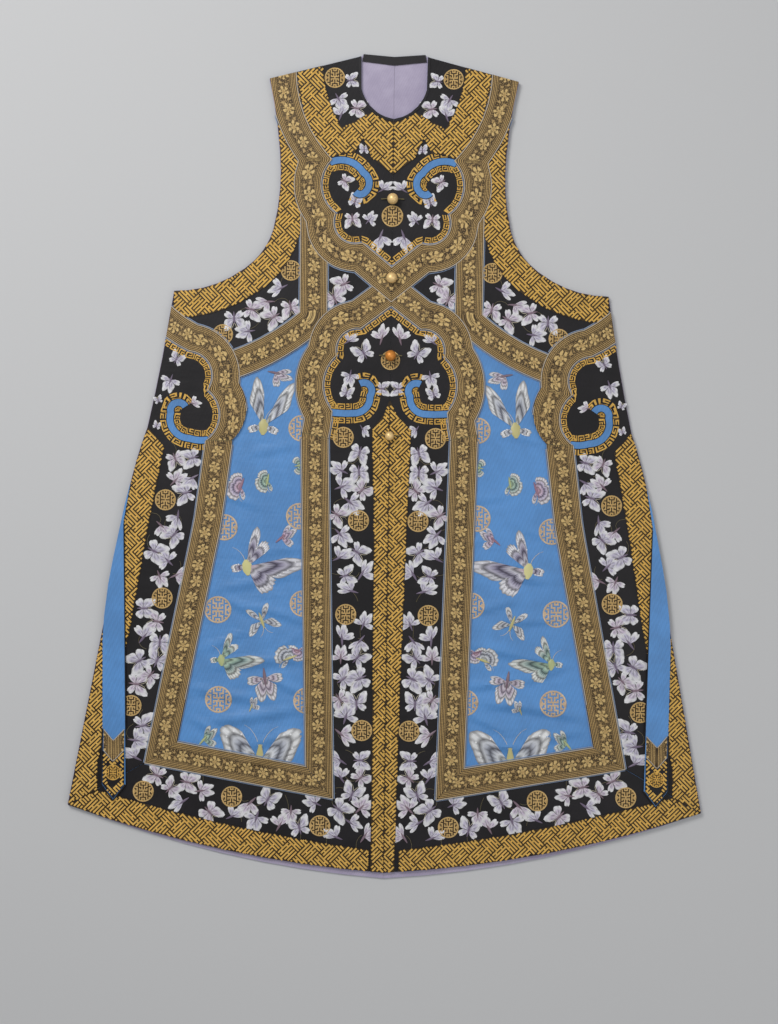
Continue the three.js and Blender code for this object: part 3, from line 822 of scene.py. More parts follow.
def ribbon_group():
    """Brocade ribbon: striped selvedges and a dark middle with a running row of flower heads."""
    group, start, end = new_group(
        "Brocade ribbon",
        [("Vector", VECTOR, None), ("Tan", COLOUR, None), ("Brown", COLOUR, None),
         ("Petal", COLOUR, None), ("Repeat", FLOAT, REPEAT)],
        [("Color", COLOUR), ("Height", FLOAT)])
    vector, repeat = start.outputs["Vector"], start.outputs["Repeat"]
    tan, brown = start.outputs["Tan"], start.outputs["Brown"]
    split = group.nodes.new("ShaderNodeSeparateXYZ")
    group.links.new(vector, split.inputs[0])
    drift = maths(group, "MULTIPLY_ADD", noise(group, vector, 240.0, 3.0), 0.0060, -0.0030)
    across = plus(group, split.outputs[0], drift)
    along = plus(group, split.outputs[1], drift)
    off = minus(group, across, RIBBON * MM / 2)
    away = maths(group, "ABSOLUTE", minus(group, split.outputs[0], RIBBON * MM / 2))
    border = step_between(group, away, *SELVEDGE)
    # stripes of the selvedge, broken by picks
    stripe = maths(group, "SINE", times(group, away, 2 * math.pi / STRIPE))
    pick = maths(group, "SINE", times(group, along, 2 * math.pi / PICK))
    chain = step_between(group, maths(group, "MULTIPLY_ADD", pick, 0.45, stripe), -0.1, 0.5)
    # a row of flower heads that swing from side to side
    count = maths(group, "DIVIDE", along, repeat)
    index = maths(group, "FLOOR", count)
    local = times(group, minus(group, minus(group, count, index), 0.5), repeat)
    odd = minus(group, times(group, maths(group, "MODULO", index, 2.0), 2.0), 1.0)
    side = minus(group, off, times(group, odd, HEAD_SWING))
    squares = [maths(group, "POWER", maths(group, "ABSOLUTE", value), 2.0) for value in (local, side)]
    far = maths(group, "SQRT", plus(group, *squares))
    bearing = plus(group, maths(group, "ARCTAN2", side, local), times(group, index, 1.3))
    lobes = maths(group, "COSINE", times(group, bearing, PETALS))
    rim = maths(group, "MULTIPLY_ADD", lobes, LOBE, HEAD)
    rim = times(group, rim, maths(group, "MULTIPLY_ADD", noise(group, vector, 60.0), 0.8, 0.6))
    flower = step_between(group, minus(group, rim, far), -0.0004, 0.0006)
    fleck = step_between(group, noise(group, vector, 520.0, 2.0), 0.50, 0.60)
    heart = step_between(group, minus(group, HEART, far), -0.0004, 0.0004)
    vein = step_between(group, lobes, -0.75, -0.2)
    ring = step_between(group, maths(group, "ABSOLUTE", minus(group, far, RING)), 0.0002, 0.0009)
    # leaves between the heads
    gap = minus(group, times(group, repeat, 0.5), maths(group, "ABSOLUTE", local))
    bough = maths(group, "ABSOLUTE", plus(group, off, times(group, odd, LEAF_SWING)))
    leaf_far = plus(group, times(group, gap, 0.8), times(group, bough, 1.3))
    leaf = step_between(group, leaf_far, 0.0052, 0.0040)
    petals = times(group, flower, times(group, vein, maths(group, "MULTIPLY_ADD", ring, 0.6, 0.4)))
    field = blend(group, times(group, fleck, 0.55), brown, tan)
    middle = blend(group, times(group, leaf, 0.75), field, tan)
    middle = blend(group, petals, middle, start.outputs["Petal"])
    middle = blend(group, times(group, heart, 0.9), middle, tan)
    selvedge = blend(group, chain, brown, tan)
    colour = blend(group, border, middle, selvedge)
    worn = step_between(group, noise(group, vector, 55.0, 4.0), 0.35, 0.75)
    colour = blend(group, times(group, worn, 0.16), colour, tan)
    rib = maths(group, "SINE", times(group, along, 2 * math.pi / RIB))
    raised = plus(group, times(group, petals, 0.8), times(group, leaf, 0.5))
    inner = times(group, raised, minus(group, 1.0, border))
    outer = times(group, chain, times(group, border, 0.6))
    height = plus(group, plus(group, inner, outer), times(group, rib, 0.06))
    group.links.new(colour, end.inputs["Color"])
    group.links.new(height, end.inputs["Height"])
    return group


GROUPS = {}


def group_of(name, build):
    if name not in GROUPS:
        GROUPS[name] = build()
    return GROUPS[name]


def new_material(name, roughness=0.5, metallic=0.0, sheen=0.0, specular=0.5):
    material = bpy.data.materials.new(name)
    material.use_nodes = True
    tree = material.node_tree
    shader = tree.nodes["Principled BSDF"]
    shader.inputs["Roughness"].default_value = roughness
    shader.inputs["Metallic"].default_value = metallic
    shader.inputs["Sheen Weight"].default_value = sheen
    shader.inputs["Sheen Roughness"].default_value = 0.4
    shader.inputs["Specular IOR Level"].default_value = specular
    return material, tree, shader


def bumped(tree, shader, height, distance, strength=1.0):
    node = tree.nodes.new("ShaderNodeBump")
    node.inputs["Distance"].default_value = distance
    node.inputs["Strength"].default_value = strength
    tree.links.new(height, node.inputs["Height"])
    tree.links.new(node.outputs[0], shader.inputs["Normal"])


def object_places(tree):
    return tree.nodes.new("ShaderNodeTexCoord").outputs["Object"]


def weave_places(tree):
    node = tree.nodes.new("ShaderNodeUVMap")
    node.uv_map = "Weave"
    return node.outputs[0]


def satin(name, light, deep, pucker=0.5, thread=1400.0, sheen=0.25, specular=0.5, depth=0.0009):
    material, tree, shader = new_material(name, sheen=sheen, specular=specular)
    cloth = placed(tree, group_of("satin", satin_group), Vector=object_places(tree),
                   Light=light, Deep=deep, Thread=thread, Pucker=pucker)
    tree.links.new(cloth.outputs["Color"], shader.inputs["Base Color"])
    tree.links.new(cloth.outputs["Rough"], shader.inputs["Roughness"])
    bumped(tree, shader, cloth.outputs["Height"], depth)
    return material


def twisted(tree, pitch, lean):
    """Thread that runs along the piece's own weave places."""
    return placed(tree, group_of("twist", twist_group), Vector=weave_places(tree), Pitch=pitch, Lean=lean)


def couched_gold(name, colour, dark):
    material, tree, shader = new_material(name, roughness=0.42, metallic=0.25)
    twist = twisted(tree, 0.0011, 0.6)
    patch = step_between(tree, noise(tree, object_places(tree), 90.0, 3.0), 0.35, 0.7)
    tone = blend(tree, times(tree, patch, 0.45), colour, dark)
    tone = blend(tree, times(tree, twist.outputs["Mask"], 0.25), tone, dark)
    tree.links.new(tone, shader.inputs["Base Color"])
    bumped(tree, shader, twist.outputs["Height"], 0.00025)
    return material


def ribbon_brocade(name, tan, brown, petal):
    material, tree, shader = new_material(name, roughness=0.5, metallic=0.12, specular=0.3)
    cloth = placed(tree, group_of("ribbon", ribbon_group), Vector=weave_places(tree),
                   Tan=tan, Brown=brown, Petal=petal)
    tree.links.new(cloth.outputs["Color"], shader.inputs["Base Color"])
    bumped(tree, shader, cloth.outputs["Height"], 0.0004)
    return material


def wound_cord(name, colour, shade):
    material, tree, shader = new_material(name, roughness=0.55, sheen=0.2)
    twist = twisted(tree, 0.0016, 0.5)
    tone = blend(tree, times(tree, twist.outputs["Mask"], 0.5), shade, colour)
    tree.links.new(tone, shader.inputs["Base Color"])
    bumped(tree, shader, twist.outputs["Height"], 0.0003)
    return material


def stitched_silk(name):
    """Satin stitch: the colour comes from the piece, the threads run out along each wing."""
    material, tree, shader = new_material(name, roughness=0.38, sheen=0.1, specular=0.6)
    paint = tree.nodes.new("ShaderNodeAttribute")
    paint.attribute_name = "Silk"
    twist = twisted(tree, 0.0007, 0.0)
    tone = blend(tree, times(tree, twist.outputs["Mask"], 0.22), paint.outputs["Color"],
                 (0.10, 0.08, 0.14))
    tree.links.new(tone, shader.inputs["Base Color"])
    bumped(tree, shader, twist.outputs["Height"], 0.00022)
    return material


def cast_metal(name, colour, dark):
    material, tree, shader = new_material(name, roughness=0.42, metallic=0.4)
    places = object_places(tree)
    pit = noise(tree, places, 900.0, 3.0)
    cell = tree.nodes.new("ShaderNodeTexVoronoi")
    tree.links.new(places, cell.inputs["Vector"])
    cell.inputs["Scale"].default_value = 420.0
    chased = step_between(tree, cell.outputs["Distance"], 0.1, 0.5)
    tone = blend(tree, times(tree, chased, 0.5), colour, dark)
    tree.links.new(tone, shader.inputs["Base Color"])
    height = plus(tree, chased, times(tree, pit, 0.4))
    bumped(tree, shader, height, 0.0002, 0.5)
    return material


MATERIALS = {}


def make_materials(settings):
    blue, gold = tuple(settings.blue), tuple(settings.gold)
    black, cream = tuple(settings.black), tuple(settings.cream)
    MATERIALS.update({
        "blue_silk": satin("Blue satin silk", blue, tuple(c * 0.82 for c in blue), 0.8, depth=0.0016),
        "streamer_silk": satin("Streamer silk", blue, tuple(c * 0.8 for c in blue), 0.35),
        "scroll_silk": satin("Scroll silk", tuple(c * 0.95 for c in blue), tuple(c * 0.7 for c in blue),
                             0.3, sheen=0.05),
        "lining_silk": satin("Lilac lining silk", (0.43, 0.38, 0.50), (0.33, 0.285, 0.40), 0.7,
                             thread=2400.0, sheen=0.1, depth=0.0012),
        "black_satin": satin("Black satin", black, tuple(c * 0.5 for c in black), 0.5, sheen=0.0,
                             specular=0.25),
        "binding": satin("Black binding", black, tuple(c * 0.6 for c in black), 0.4, thread=2000.0,
                         sheen=0.0, specular=0.3),
        "fret_ground": satin("Fret ground satin", (0.046, 0.026, 0.008), (0.024, 0.014, 0.005), 0.4,
                              sheen=0.0, specular=0.25),
        "gold_fret": couched_gold("Couched gold thread", gold, tuple(c * 0.55 for c in gold)),
        "gold_roundel": couched_gold("Roundel gold thread", (0.74, 0.50, 0.20), (0.44, 0.28, 0.10)),
        "peach_roundel": couched_gold("Roundel peach thread", (0.74, 0.56, 0.38), (0.50, 0.36, 0.24)),
        "brocade": ribbon_brocade("Brocade ribbon", (0.50, 0.33, 0.13), (0.040, 0.023, 0.008),
                                  (0.60, 0.42, 0.17)),
        "cream_piping": wound_cord("Cream piping", cream, tuple(c * 0.7 for c in cream)),
        "blue_piping": wound_cord("Pale blue piping", (0.40, 0.50, 0.66), (0.24, 0.32, 0.50)),
        "lilac_piping": wound_cord("Lilac piping", (0.46, 0.36, 0.48), (0.30, 0.22, 0.34)),
        "stem": wound_cord("Olive stem thread", (0.24, 0.19, 0.07), (0.12, 0.10, 0.04)),
        "stitch": stitched_silk("Satin stitch silk"),
        "brass_button": cast_metal("Gilt brass", (1.0, 0.74, 0.36), (0.72, 0.44, 0.15)),
        "amber_button": cast_metal("Amber gilt", (0.86, 0.34, 0.06), (0.46, 0.15, 0.02)),
    })


# ------------------------------------------------------------------ fret, cords and embroidery
def chart_of(rows):
    return np.array([[letter == "#" for letter in row] for row in rows])


def bars(stock, cells, place, height, broad=0.06):
    """Adds a bar for each straight run of filled cells; place turns cell corners into x, y."""
    left = set(cells)
    for cell in sorted(cells):
        if cell not in left:
            continue
        best = None
        for axis in (0, 1):
            run = [cell]
            for way in (1, -1):
                ahead = list(cell)
                ahead[axis] += way
                while tuple(ahead) in left:
                    run.append(tuple(ahead))
                    ahead[axis] += way
            if best is None or len(run) > len(best[1]):
                best = (axis, run)
        run = sorted(best[1])
        left.difference_update(run)
        low, high = np.array(run[0], float) - broad, np.array(run[-1], float) + 1 + broad
        corners = [place(u, v) for u, v in ((low[0], low[1]), (high[0], low[1]),
                                            (high[0], high[1]), (low[0], high[1]))]
        spin = np.cross(np.subtract(corners[1], corners[0]), np.subtract(corners[2], corners[1]))
        stock.box(corners if spin > 0 else corners[::-1], 0.0, height, CORD_INSET)


def fret_cells(loops, covers, cell, sign):
    """Filled cells of the key fret that lie inside outlines and clear of what covers them."""
    chart = chart_of(KEY_FRET)
    points = np.vstack(loops)
    reach = math.ceil(np.abs(points).max() * 1.5 / cell)
    low, high = points.min(0), points.max(0)
    u, v = np.meshgrid(np.arange(-reach, reach), np.arange(-reach, reach), indexing="ij")
    u, v = u.ravel(), v.ravel()
    x = sign * ((u + 0.5) - (v + 0.5)) * cell / math.sqrt(2)
    y = ((u + 0.5) + (v + 0.5)) * cell / math.sqrt(2)
    near = (x > low[0]) & (x < high[0]) & (y > low[1]) & (y < high[1])
    near &= chart[u % len(chart), v % len(chart)]
    u, v, spots = u[near], v[near], np.stack((x[near], y[near]), 1)
    hit = np.zeros(len(spots), bool)
    for loop in loops:
        within = inside(spots, loop)
        within[within] = nearest(spots[within], closed(loop))[0] > ON_EDGE
        hit |= within
    for loop in covers:
        hit &= ~inside(spots, loop)
    return list(zip(u[hit].tolist(), v[hit].tolist()))


def fret_place(cell, sign):
    root = cell / math.sqrt(2)
    return lambda u, v: (sign * (u - v) * root, (u + v) * root)


def edge_fret(stock, line, sign, start, way, cell, loops, covers, height):
    """Adds the narrow fret along a line, from a distance off it and away to one side."""
    chart = chart_of(EDGE_FRET)
    run = np.diff(line, axis=0)
    reach = np.concatenate(([0.0], np.cumsum(np.linalg.norm(run, axis=1))))
    steps = np.arange(int(reach[-1] / cell) + 1)
    rows = [list(row) for row in chart[steps % len(chart)]]

    def place(u, v):
        along = np.clip(v * cell, 0, reach[-1])
        x, y = np.interp(along, reach, line[:, 0]), np.interp(along, reach, line[:, 1])
        nearby = [np.clip(along + move, 0, reach[-1]) for move in (-TURN_REACH, TURN_REACH)]
        ahead = np.array([np.interp(nearby[1], reach, line[:, axis])
                          - np.interp(nearby[0], reach, line[:, axis]) for axis in (0, 1)])
        ahead /= np.linalg.norm(ahead)
        out = way * (start + u * cell)
        return (sign * (x - ahead[1] * out), y + ahead[0] * out)

    mirror_line = mirrored(line, sign)
    cells = [(u, int(v)) for v, row in zip(steps, rows) for u, filled in enumerate(row) if filled]
    spots = np.array([place(u + 0.5, v + 0.5) for u, v in cells])
    hit = nearest(spots, mirror_line)[0] > start + np.array([u for u, v in cells]) * cell * 0.9
    within = np.zeros(len(spots), bool)
    for loop in loops:
        within |= inside(spots, loop)
    for loop in covers:
        within &= ~inside(spots, loop)
        within &= nearest(spots, closed(loop))[0] > ON_EDGE
    bars(stock, [spot for spot, good in zip(cells, hit & within) if good], place, height, 0.02)


def wing(spread, reach, lean, shape, rings, columns, palette, height, side):
    """The net of one wing: a fan of satin stitch from its root, with dark veins and a pale rim."""
    share = np.linspace(0, 1, columns)
    profile = WING_SHAPES[shape]
    angle = lean + (share - 0.5) * spread
    reaches = reach * np.interp(share, np.linspace(0, 1, len(profile)), profile)
    out = np.linspace(0.06, 1, rings)[:, None]
    x = side * reaches * np.sin(angle) * out
    y = reaches * np.cos(angle) * out
    z = height * (0.3 + 0.7 * np.sin(math.pi * np.clip(out, 0, 0.92) ** 0.7)) * np.ones_like(x)
    z[-1] = 0.05
    stops = np.linspace(0, 1, len(palette))
    tints = np.stack([np.interp(out[:, 0], stops, [p[c] for p in palette]) for c in range(3)], 1)
    if rings > 6:
        bands = np.array([1.0 if mark == "-" else 0.28 for mark in "--x--x--x--x"[:rings]])
        tints = tints * bands[:, None]
    tints = np.repeat(tints[:, None], columns, 1)
    veins = (np.arange(columns) % 3 == 1)[None, :] & (np.arange(rings) % 4 != 3)[:, None]
    tints = tints * np.where(veins, 0.55, 1.0)[..., None]
    weave = np.stack((out * reaches, (share * spread * reach) * np.ones_like(x)), 2)
    points = np.stack((x, y, z), 2)
    if side > 0:
        points, tints, weave = points[:, ::-1], tints[:, ::-1], weave[:, ::-1]
    return points, tints, weave


# Outlines of the wings: reach from the leading edge to the trailing edge.
WING_SHAPES = {
    "fore": (0.66, 0.90, 1.0, 0.90, 0.76, 0.68, 0.62, 0.52),
    "hind": (0.55, 0.78, 0.95, 1.0, 0.92, 0.98, 0.80, 0.50),
    "frill": (0.70, 0.92, 0.90, 0.99, 0.94, 1.0, 0.92, 0.96, 0.88, 0.90, 0.70),
    "slim": (0.5, 0.86, 1.0, 0.94, 0.8, 0.5),
}
# Wings of each kind of butterfly: side or 0 for both, spread, reach, lean, shape.
WINGS = {
    "plain": ((0, 1.15, 0.62, 0.95, "fore"), (0, 1.05, 0.42, 2.15, "hind")),
    "raised": ((0, 0.95, 0.62, 0.48, "fore"), (0, 0.90, 0.46, 1.50, "hind")),
    "perched": ((1, 0.80, 0.66, 0.35, "fore"), (1, 0.95, 0.50, 1.25, "hind"),
                (-1, 0.55, 0.58, 0.30, "slim")),
    "broad": ((0, 1.25, 0.62, 0.90, "fore"), (0, 1.10, 0.44, 2.15, "frill")),
    "spread": ((0, 1.05, 0.60, 1.10, "fore"), (0, 0.85, 0.36, 2.20, "hind")),
    "curled": ((1, 1.9, 0.50, 0.75, "frill"), (1, 1.3, 0.44, 2.30, "frill"),
               (-1, 0.6, 0.42, 0.6, "slim")),
    "tailed": ((0, 0.80, 0.58, 1.20, "fore"), (0, 0.55, 0.56, 2.55, "slim")),
    "vee": ((1, 0.52, 0.86, 0.66, "fore"), (-1, 0.56, 0.80, 0.34, "fore"), (0, 0.8, 0.26, 1.9, "hind")),
    "great": ((1, 0.60, 0.98, 1.78, "fore"), (1, 0.80, 0.56, 2.45, "frill"),
              (1, 0.42, 0.66, 0.42, "slim"), (1, 0.45, 0.52, 0.85, "frill"),
              (-1, 0.9, 0.26, 1.6, "hind")),
}
# Kinds with rows of raised knots.
PEARLED = ("vee", "great", "spread", "curled")


def butterfly(stock, x, y, size, turn, kind="plain", palette="silver", flip=1, rings=5, columns=8,
              height=0.8):
    """Adds a stitched butterfly with its wings, a body and feelers."""
    angle = math.radians(turn)
    cos, sin = math.cos(angle), math.sin(angle)

    def turned(points):
        moved = points.copy()
        moved[..., 0] = points[..., 0] * cos - points[..., 1] * sin + x
        moved[..., 1] = points[..., 0] * sin + points[..., 1] * cos + y
        return moved

    colours = PALETTES[palette]
    for index, (placed_on, spread, reach, lean, shape) in enumerate(WINGS[kind]):
        for side in ((1, -1) if placed_on == 0 else (placed_on * flip,)):
            points, tints, weave = wing(spread, reach * size, lean, shape, rings, columns, colours,
                                        height * (1.15 - 0.15 * index), side)
            stock.grid(turned(points), tints, weave)
            if rings > 6 and kind in PEARLED:
                for spot in turned(points)[-3][1:-1:2]:
                    pearl(stock, spot[0], spot[1], size * 0.013)
    stout = 0.55 if kind in ("great", "vee") else 1.0
    stations = np.linspace(-0.26, 0.2, 5) * stout
    girth = np.array((0.012, 0.035, 0.045, 0.04, 0.015)) * size / stout
    body = np.zeros((5, 4, 3))
    for index, (place, wide) in enumerate(zip(stations, girth)):
        body[index, :, 0] = (-wide, -wide * 0.5, wide * 0.5, wide)
        body[index, :, 1] = place * size
        body[index, :, 2] = (0.3, height * 1.6, height * 1.6, 0.3)
    stock.grid(turned(body), np.ones((5, 4, 3)) * np.array(BODY_SILK[palette]))
    for side in (1, -1):
        share = np.linspace(0, 1, 5)
        path_x = side * size * (0.02 + 0.17 * share ** 1.6)
        path_y = size * (0.18 * stout + 0.28 * share - 0.05 * share ** 4)
        feeler = np.zeros((5, 2, 3))
        feeler[:, 0, 0], feeler[:, 1, 0] = path_x - 0.4, path_x + 0.4
        feeler[:, :, 1] = path_y[:, None]
        feeler[:, :, 2] = height * 0.6
        stock.grid(turned(feeler), np.ones((5, 2, 3)) * np.array((0.62, 0.56, 0.42)))


def ring_at(x, y, radius, height, turns):
    """Points round a level ring."""
    heights = np.full(len(turns), height)
    return np.stack((x + radius * np.cos(turns), y + radius * np.sin(turns), heights), 1)


def pearl(stock, x, y, radius):
    """Adds a small raised knot."""
    turns = np.linspace(0, 2 * math.pi, 6, endpoint=False)
    knot = np.zeros((3, 6, 3))
    for row, (share, height) in enumerate(((1.0, 0.0), (0.8, 0.9), (0.05, 1.2))):
        knot[row] = ring_at(x, y, radius * share, height, turns)
    stock.grid(knot, np.ones((3, 6, 3)) * 0.92, wrap=True)


def roundel(stock, disc, x, y, radius):
    """Adds a couched medallion: a rim of cord, a geometric filling and the disc under it."""
    turns = np.linspace(0, 2 * math.pi, RIM_SIDES, endpoint=False)
    rim = np.zeros((4, RIM_SIDES, 3))
    for row, (share, height) in enumerate(((1.0, 0.0), (0.97, 0.75), (0.90, 0.75), (0.86, 0.1))):
        rim[row] = ring_at(x, y, radius * share, height, turns)
    weave = np.dstack((np.zeros((4, RIM_SIDES)), np.tile(turns * radius, (4, 1))))
    stock.grid(rim, weave=weave, wrap=True)
    chart = chart_of(MEDALLION)
    count = len(chart)
    cell = 1.72 * radius / count
    cells = [(u, v) for u in range(count) for v in range(count) if chart[v, u]
             and math.hypot(u - count // 2, v - count // 2) < count / 2]
    bars(stock, cells, lambda u, v: (x + (u - count / 2) * cell, y + (v - count / 2) * cell), 0.6, 0.1)
    plate = [ring_at(x, y, reach, PLATE_HEIGHT, turns) for reach in (radius * 0.98, 0.02)]
    disc.grid(np.array(plate), wrap=True)


def edging(side):
    """Lilac piping on the front's outer edge, and dark thread over the joins of the black grounds."""
    piping, joins = Stock(), Stock()
    for loop in outlines(f"front_{side}"):
        loop = closed(loop)
        far = np.abs(loop[:, 0])
        kept = (far > OPENING_EDGE) & ((far > NECK_HALF) | (loop[:, 1] < NECK_FOOT))
        for run in kept_runs(loop, kept):
            cord_along(piping, run, *CORDS["edge_piping"])
    piping.piece(f"edge_piping_{side}", MATERIALS["lilac_piping"], "lining_silk")
    hem = np.vstack([closed(loop) for loop in outlines(f"hem_ground_{side}")])
    for name, axis in (("side_ground", 0), ("front_ground", 1)):
        edge = np.vstack(outlines(f"{name}_{side}"))
        edge = edge[nearest(edge, hem)[0] < SEAM_NEAR]
        ends = edge[edge[:, axis].argmin()], edge[edge[:, axis].argmax()]
        line = ends[0] + np.linspace(0, 1, 24)[:, None] * (ends[1] - ends[0])
        cord_along(joins, line, *CORDS["ground_join"])
    joins.piece(f"ground_joins_{side}", MATERIALS["binding"], "black_satin")


# ------------------------------------------------------------------ settings
class WaistcoatSettings(bpy.types.PropertyGroup):
    """Sizes and colours of the waistcoat's finish."""

    blue: FloatVectorProperty(name="Blue silk", description="Colour of the blue fields",
                              subtype="COLOR", size=3, min=0, max=1, default=(0.088, 0.27, 0.60))
    black: FloatVectorProperty(name="Black satin", description="Colour of the black grounds",
                               subtype="COLOR", size=3, min=0, max=1, default=(0.012, 0.010, 0.012))
    gold: FloatVectorProperty(name="Gold thread", description="Colour of the couched gold",
                              subtype="COLOR", size=3, min=0, max=1, default=(0.90, 0.54, 0.12))
    cream: FloatVectorProperty(name="Cream piping", description="Colour of the ribbon pipings",
                               subtype="COLOR", size=3, min=0, max=1, default=(0.62, 0.55, 0.46))
    cell: FloatProperty(name="Fret cell", description="Width of one cell of the key fret, in mm",
                        default=2.5, min=1.5, max=5.0)
    cord: FloatProperty(name="Cord height", description="How far the gold cord stands up, in mm",
                        default=0.6, min=0.1, max=1.5)
    crease_depth: FloatProperty(name="Crease depth", description="Depth of the creases, as a factor",
                                subtype="FACTOR", default=1.35, min=0, max=2)
    seed: IntProperty(name="Seed", description="Draw of the small butterflies' turns", default=7)


class PieceOperator(bpy.types.Operator):
    """Shared by the operators that make one group of pieces."""

    bl_options = {"REGISTER", "UNDO"}

    def execute(self, context):
        self.make(context.scene.waistcoat)
        return {"FINISHED"}


class WAISTCOAT_OT_materials(PieceOperator):
    """Build the silk, satin, thread, cord and metal materials."""

    bl_idname = "waistcoat.materials"
    bl_label = "Materials"

    def make(self, settings):
        make_materials(settings)


class WAISTCOAT_OT_body(PieceOperator):
    """Lay the back, the lining, the fronts and the neck band."""

    bl_idname = "waistcoat.body"
    bl_label = "Back and fronts"

    def make(self, settings):
        for side, _ in SIDES:
            shell(f"back_cloth_{side}", f"back_{side}", "back", MATERIALS["blue_silk"], 14)
            shell(f"lining_cloth_{side}", f"back_lining_{side}", "lining", MATERIALS["lining_silk"],
                  10)
            shell(f"front_cloth_{side}", f"front_{side}", "front", MATERIALS["blue_silk"],
                  6)
            shell(f"neck_binding_cloth_{side}", f"neck_binding_{side}", "fret", MATERIALS["binding"],
                  6, width=4.0)
        shell("neck_band_cloth", "neck_band", "front", MATERIALS["binding"], 4)


class WAISTCOAT_OT_grounds(PieceOperator):
    """Lay the black satin grounds on the fronts."""

    bl_idname = "waistcoat.grounds"
    bl_label = "Black grounds"

    def make(self, settings):
        for side, _ in SIDES:
            for name in ("yoke", "underarm", "front", "hem", "side"):
                shell(f"{name}_ground_satin_{side}", f"{name}_ground_{side}", "ground",
                      MATERIALS["black_satin"], 8)
            edging(side)


class WAISTCOAT_OT_frets(PieceOperator):
    """Lay the fret bands and couch their gold cord, and the narrow fret along the lobes."""

    bl_idname = "waistcoat.frets"
    bl_label = "Gold fret"

    def make(self, settings):
        cell = settings.cell
        for side, sign in SIDES:
            covers = ribbon_loops(side)
            covers += outlines(f"streamer_{side}")
            for name in ("armhole", "yoke", "front", "vent", "hem"):
                node = f"{name}_fret_{side}"
                shell(f"{name}_fret_band_{side}", node, "fret", MATERIALS["fret_ground"],
                      8, width=FRET if name == "armhole" else None)
                stock = Stock()
                way = sign if name in ("yoke", "armhole") else 1
                cells = fret_cells(outlines(node), covers, cell, way)
                bars(stock, cells, fret_place(cell, way), settings.cord)
                stock.piece(f"{name}_fret_cord_{side}", MATERIALS["gold_fret"], "gold_fret", "fret",
                            False)
            self.narrow(settings, side, sign, covers)

    def narrow(self, settings, side, sign, covers):
        """The narrow fret inside the lobed ribbons and on both sides of the scrolls."""
        stock = Stock()
        taken = list(covers)
        for name in ("yoke", "front", "vent", "armhole", "hem"):
            taken += outlines(f"{name}_fret_{side}")
        for name in SCROLL_LINES:
            taken += outlines(f"{name}_{side}")
        cell = settings.cell * NARROW_CELL
        for ribbon, scroll, node in LOBES:
            ground = outlines(f"{node}_{side}")
            edge_fret(stock, trace(RIBBON_LINES[ribbon]), sign, LOBE_FRET_OUT, -1, cell, ground, taken,
                      settings.cord)
            line = trace(SCROLL_LINES[scroll])
            for way in (1, -1):
                edge_fret(stock, line, sign, SCROLL / 2 + SCROLL_FRET_OUT, way, cell, ground, taken,
                          settings.cord)
        stock.piece(f"lobe_fret_cord_{side}", MATERIALS["gold_fret"], "gold_fret", "ground", False)


class WAISTCOAT_OT_ribbons(PieceOperator):
    """Lay the brocade ribbons and scrolls and sew pipings along their edges."""

    bl_idname = "waistcoat.ribbons"
    bl_label = "Ribbons and scrolls"

    def make(self, settings):
        for side, sign in SIDES:
            cream, blue = Stock(), Stock()
            shown = ribbon_loops(side)
            for name, rows in RIBBON_LINES.items():
                node = f"{name}_{side}"
                line = mirrored(trace(rows), sign)
                shell(f"{name}_cloth_{side}", node, "ribbon", MATERIALS["brocade"], 5,
                      line=line, width=RIBBON)
                self.pipe(cream, blue, rows, sign, outlines(node), shown, RIBBON_SIDE[name])
            joins = Stock()
            for rows in RIBBON_JOINS:
                cord_along(joins, mirrored(trace(rows, 5), sign), *CORDS["ribbon_join"])
            joins.piece(f"ribbon_joins_{side}", MATERIALS["stem"], "brocade")
            cream.piece(f"ribbon_piping_{side}", MATERIALS["cream_piping"], "brocade")
            blue.piece(f"ribbon_edge_line_{side}", MATERIALS["blue_piping"], "scroll_silk")
            edges = Stock()
            for name, rows in SCROLL_LINES.items():
                node = f"{name}_{side}"
                line = mirrored(trace(rows), sign)
                shell(f"{name}_cloth_{side}", node, "fret", MATERIALS["scroll_silk"], 4,
                      line=line, width=SCROLL)
                for way in (1, -1):
                    edge = mirrored(beside(trace(rows), way * SCROLL / 2), sign)
                    hidden = np.zeros(len(edge), bool)
                    for loop in shown:
                        hidden |= inside(edge, loop)
                    for run in kept_runs(edge, ~hidden):
                        cord_along(edges, eased(run), *CORDS["scroll_piping"])
            edges.piece(f"scroll_piping_{side}", MATERIALS["binding"], "scroll_silk")

    def pipe(self, cream, blue, rows, sign, loops, shown, way):
        """Cords on both long edges of a ribbon and a thin line just outside each."""
        base = trace(rows)
        for distance, outward in ((0.0, -way), (RIBBON * way, way)):
            edge = base if distance == 0 else beside(base, distance)
            edge = mirrored(edge, sign)
            on = np.zeros(len(edge), bool)
            for loop in loops:
                on |= nearest(edge, closed(loop))[0] < ON_EDGE
            for run in kept_runs(edge, on):
                cord_along(cream, eased(run), *CORDS["ribbon_piping"])
            outer = mirrored(beside(base, distance + outward * EDGE_LINE_OUT), sign)
            by = np.zeros(len(outer), bool)
            for loop in loops:
                by |= nearest(outer, closed(loop))[0] < BY_EDGE
            for loop in shown:
                by &= ~inside(outer, loop)
            for run in kept_runs(outer, by):
                cord_along(blue, eased(run), *CORDS["ribbon_edge_line"])


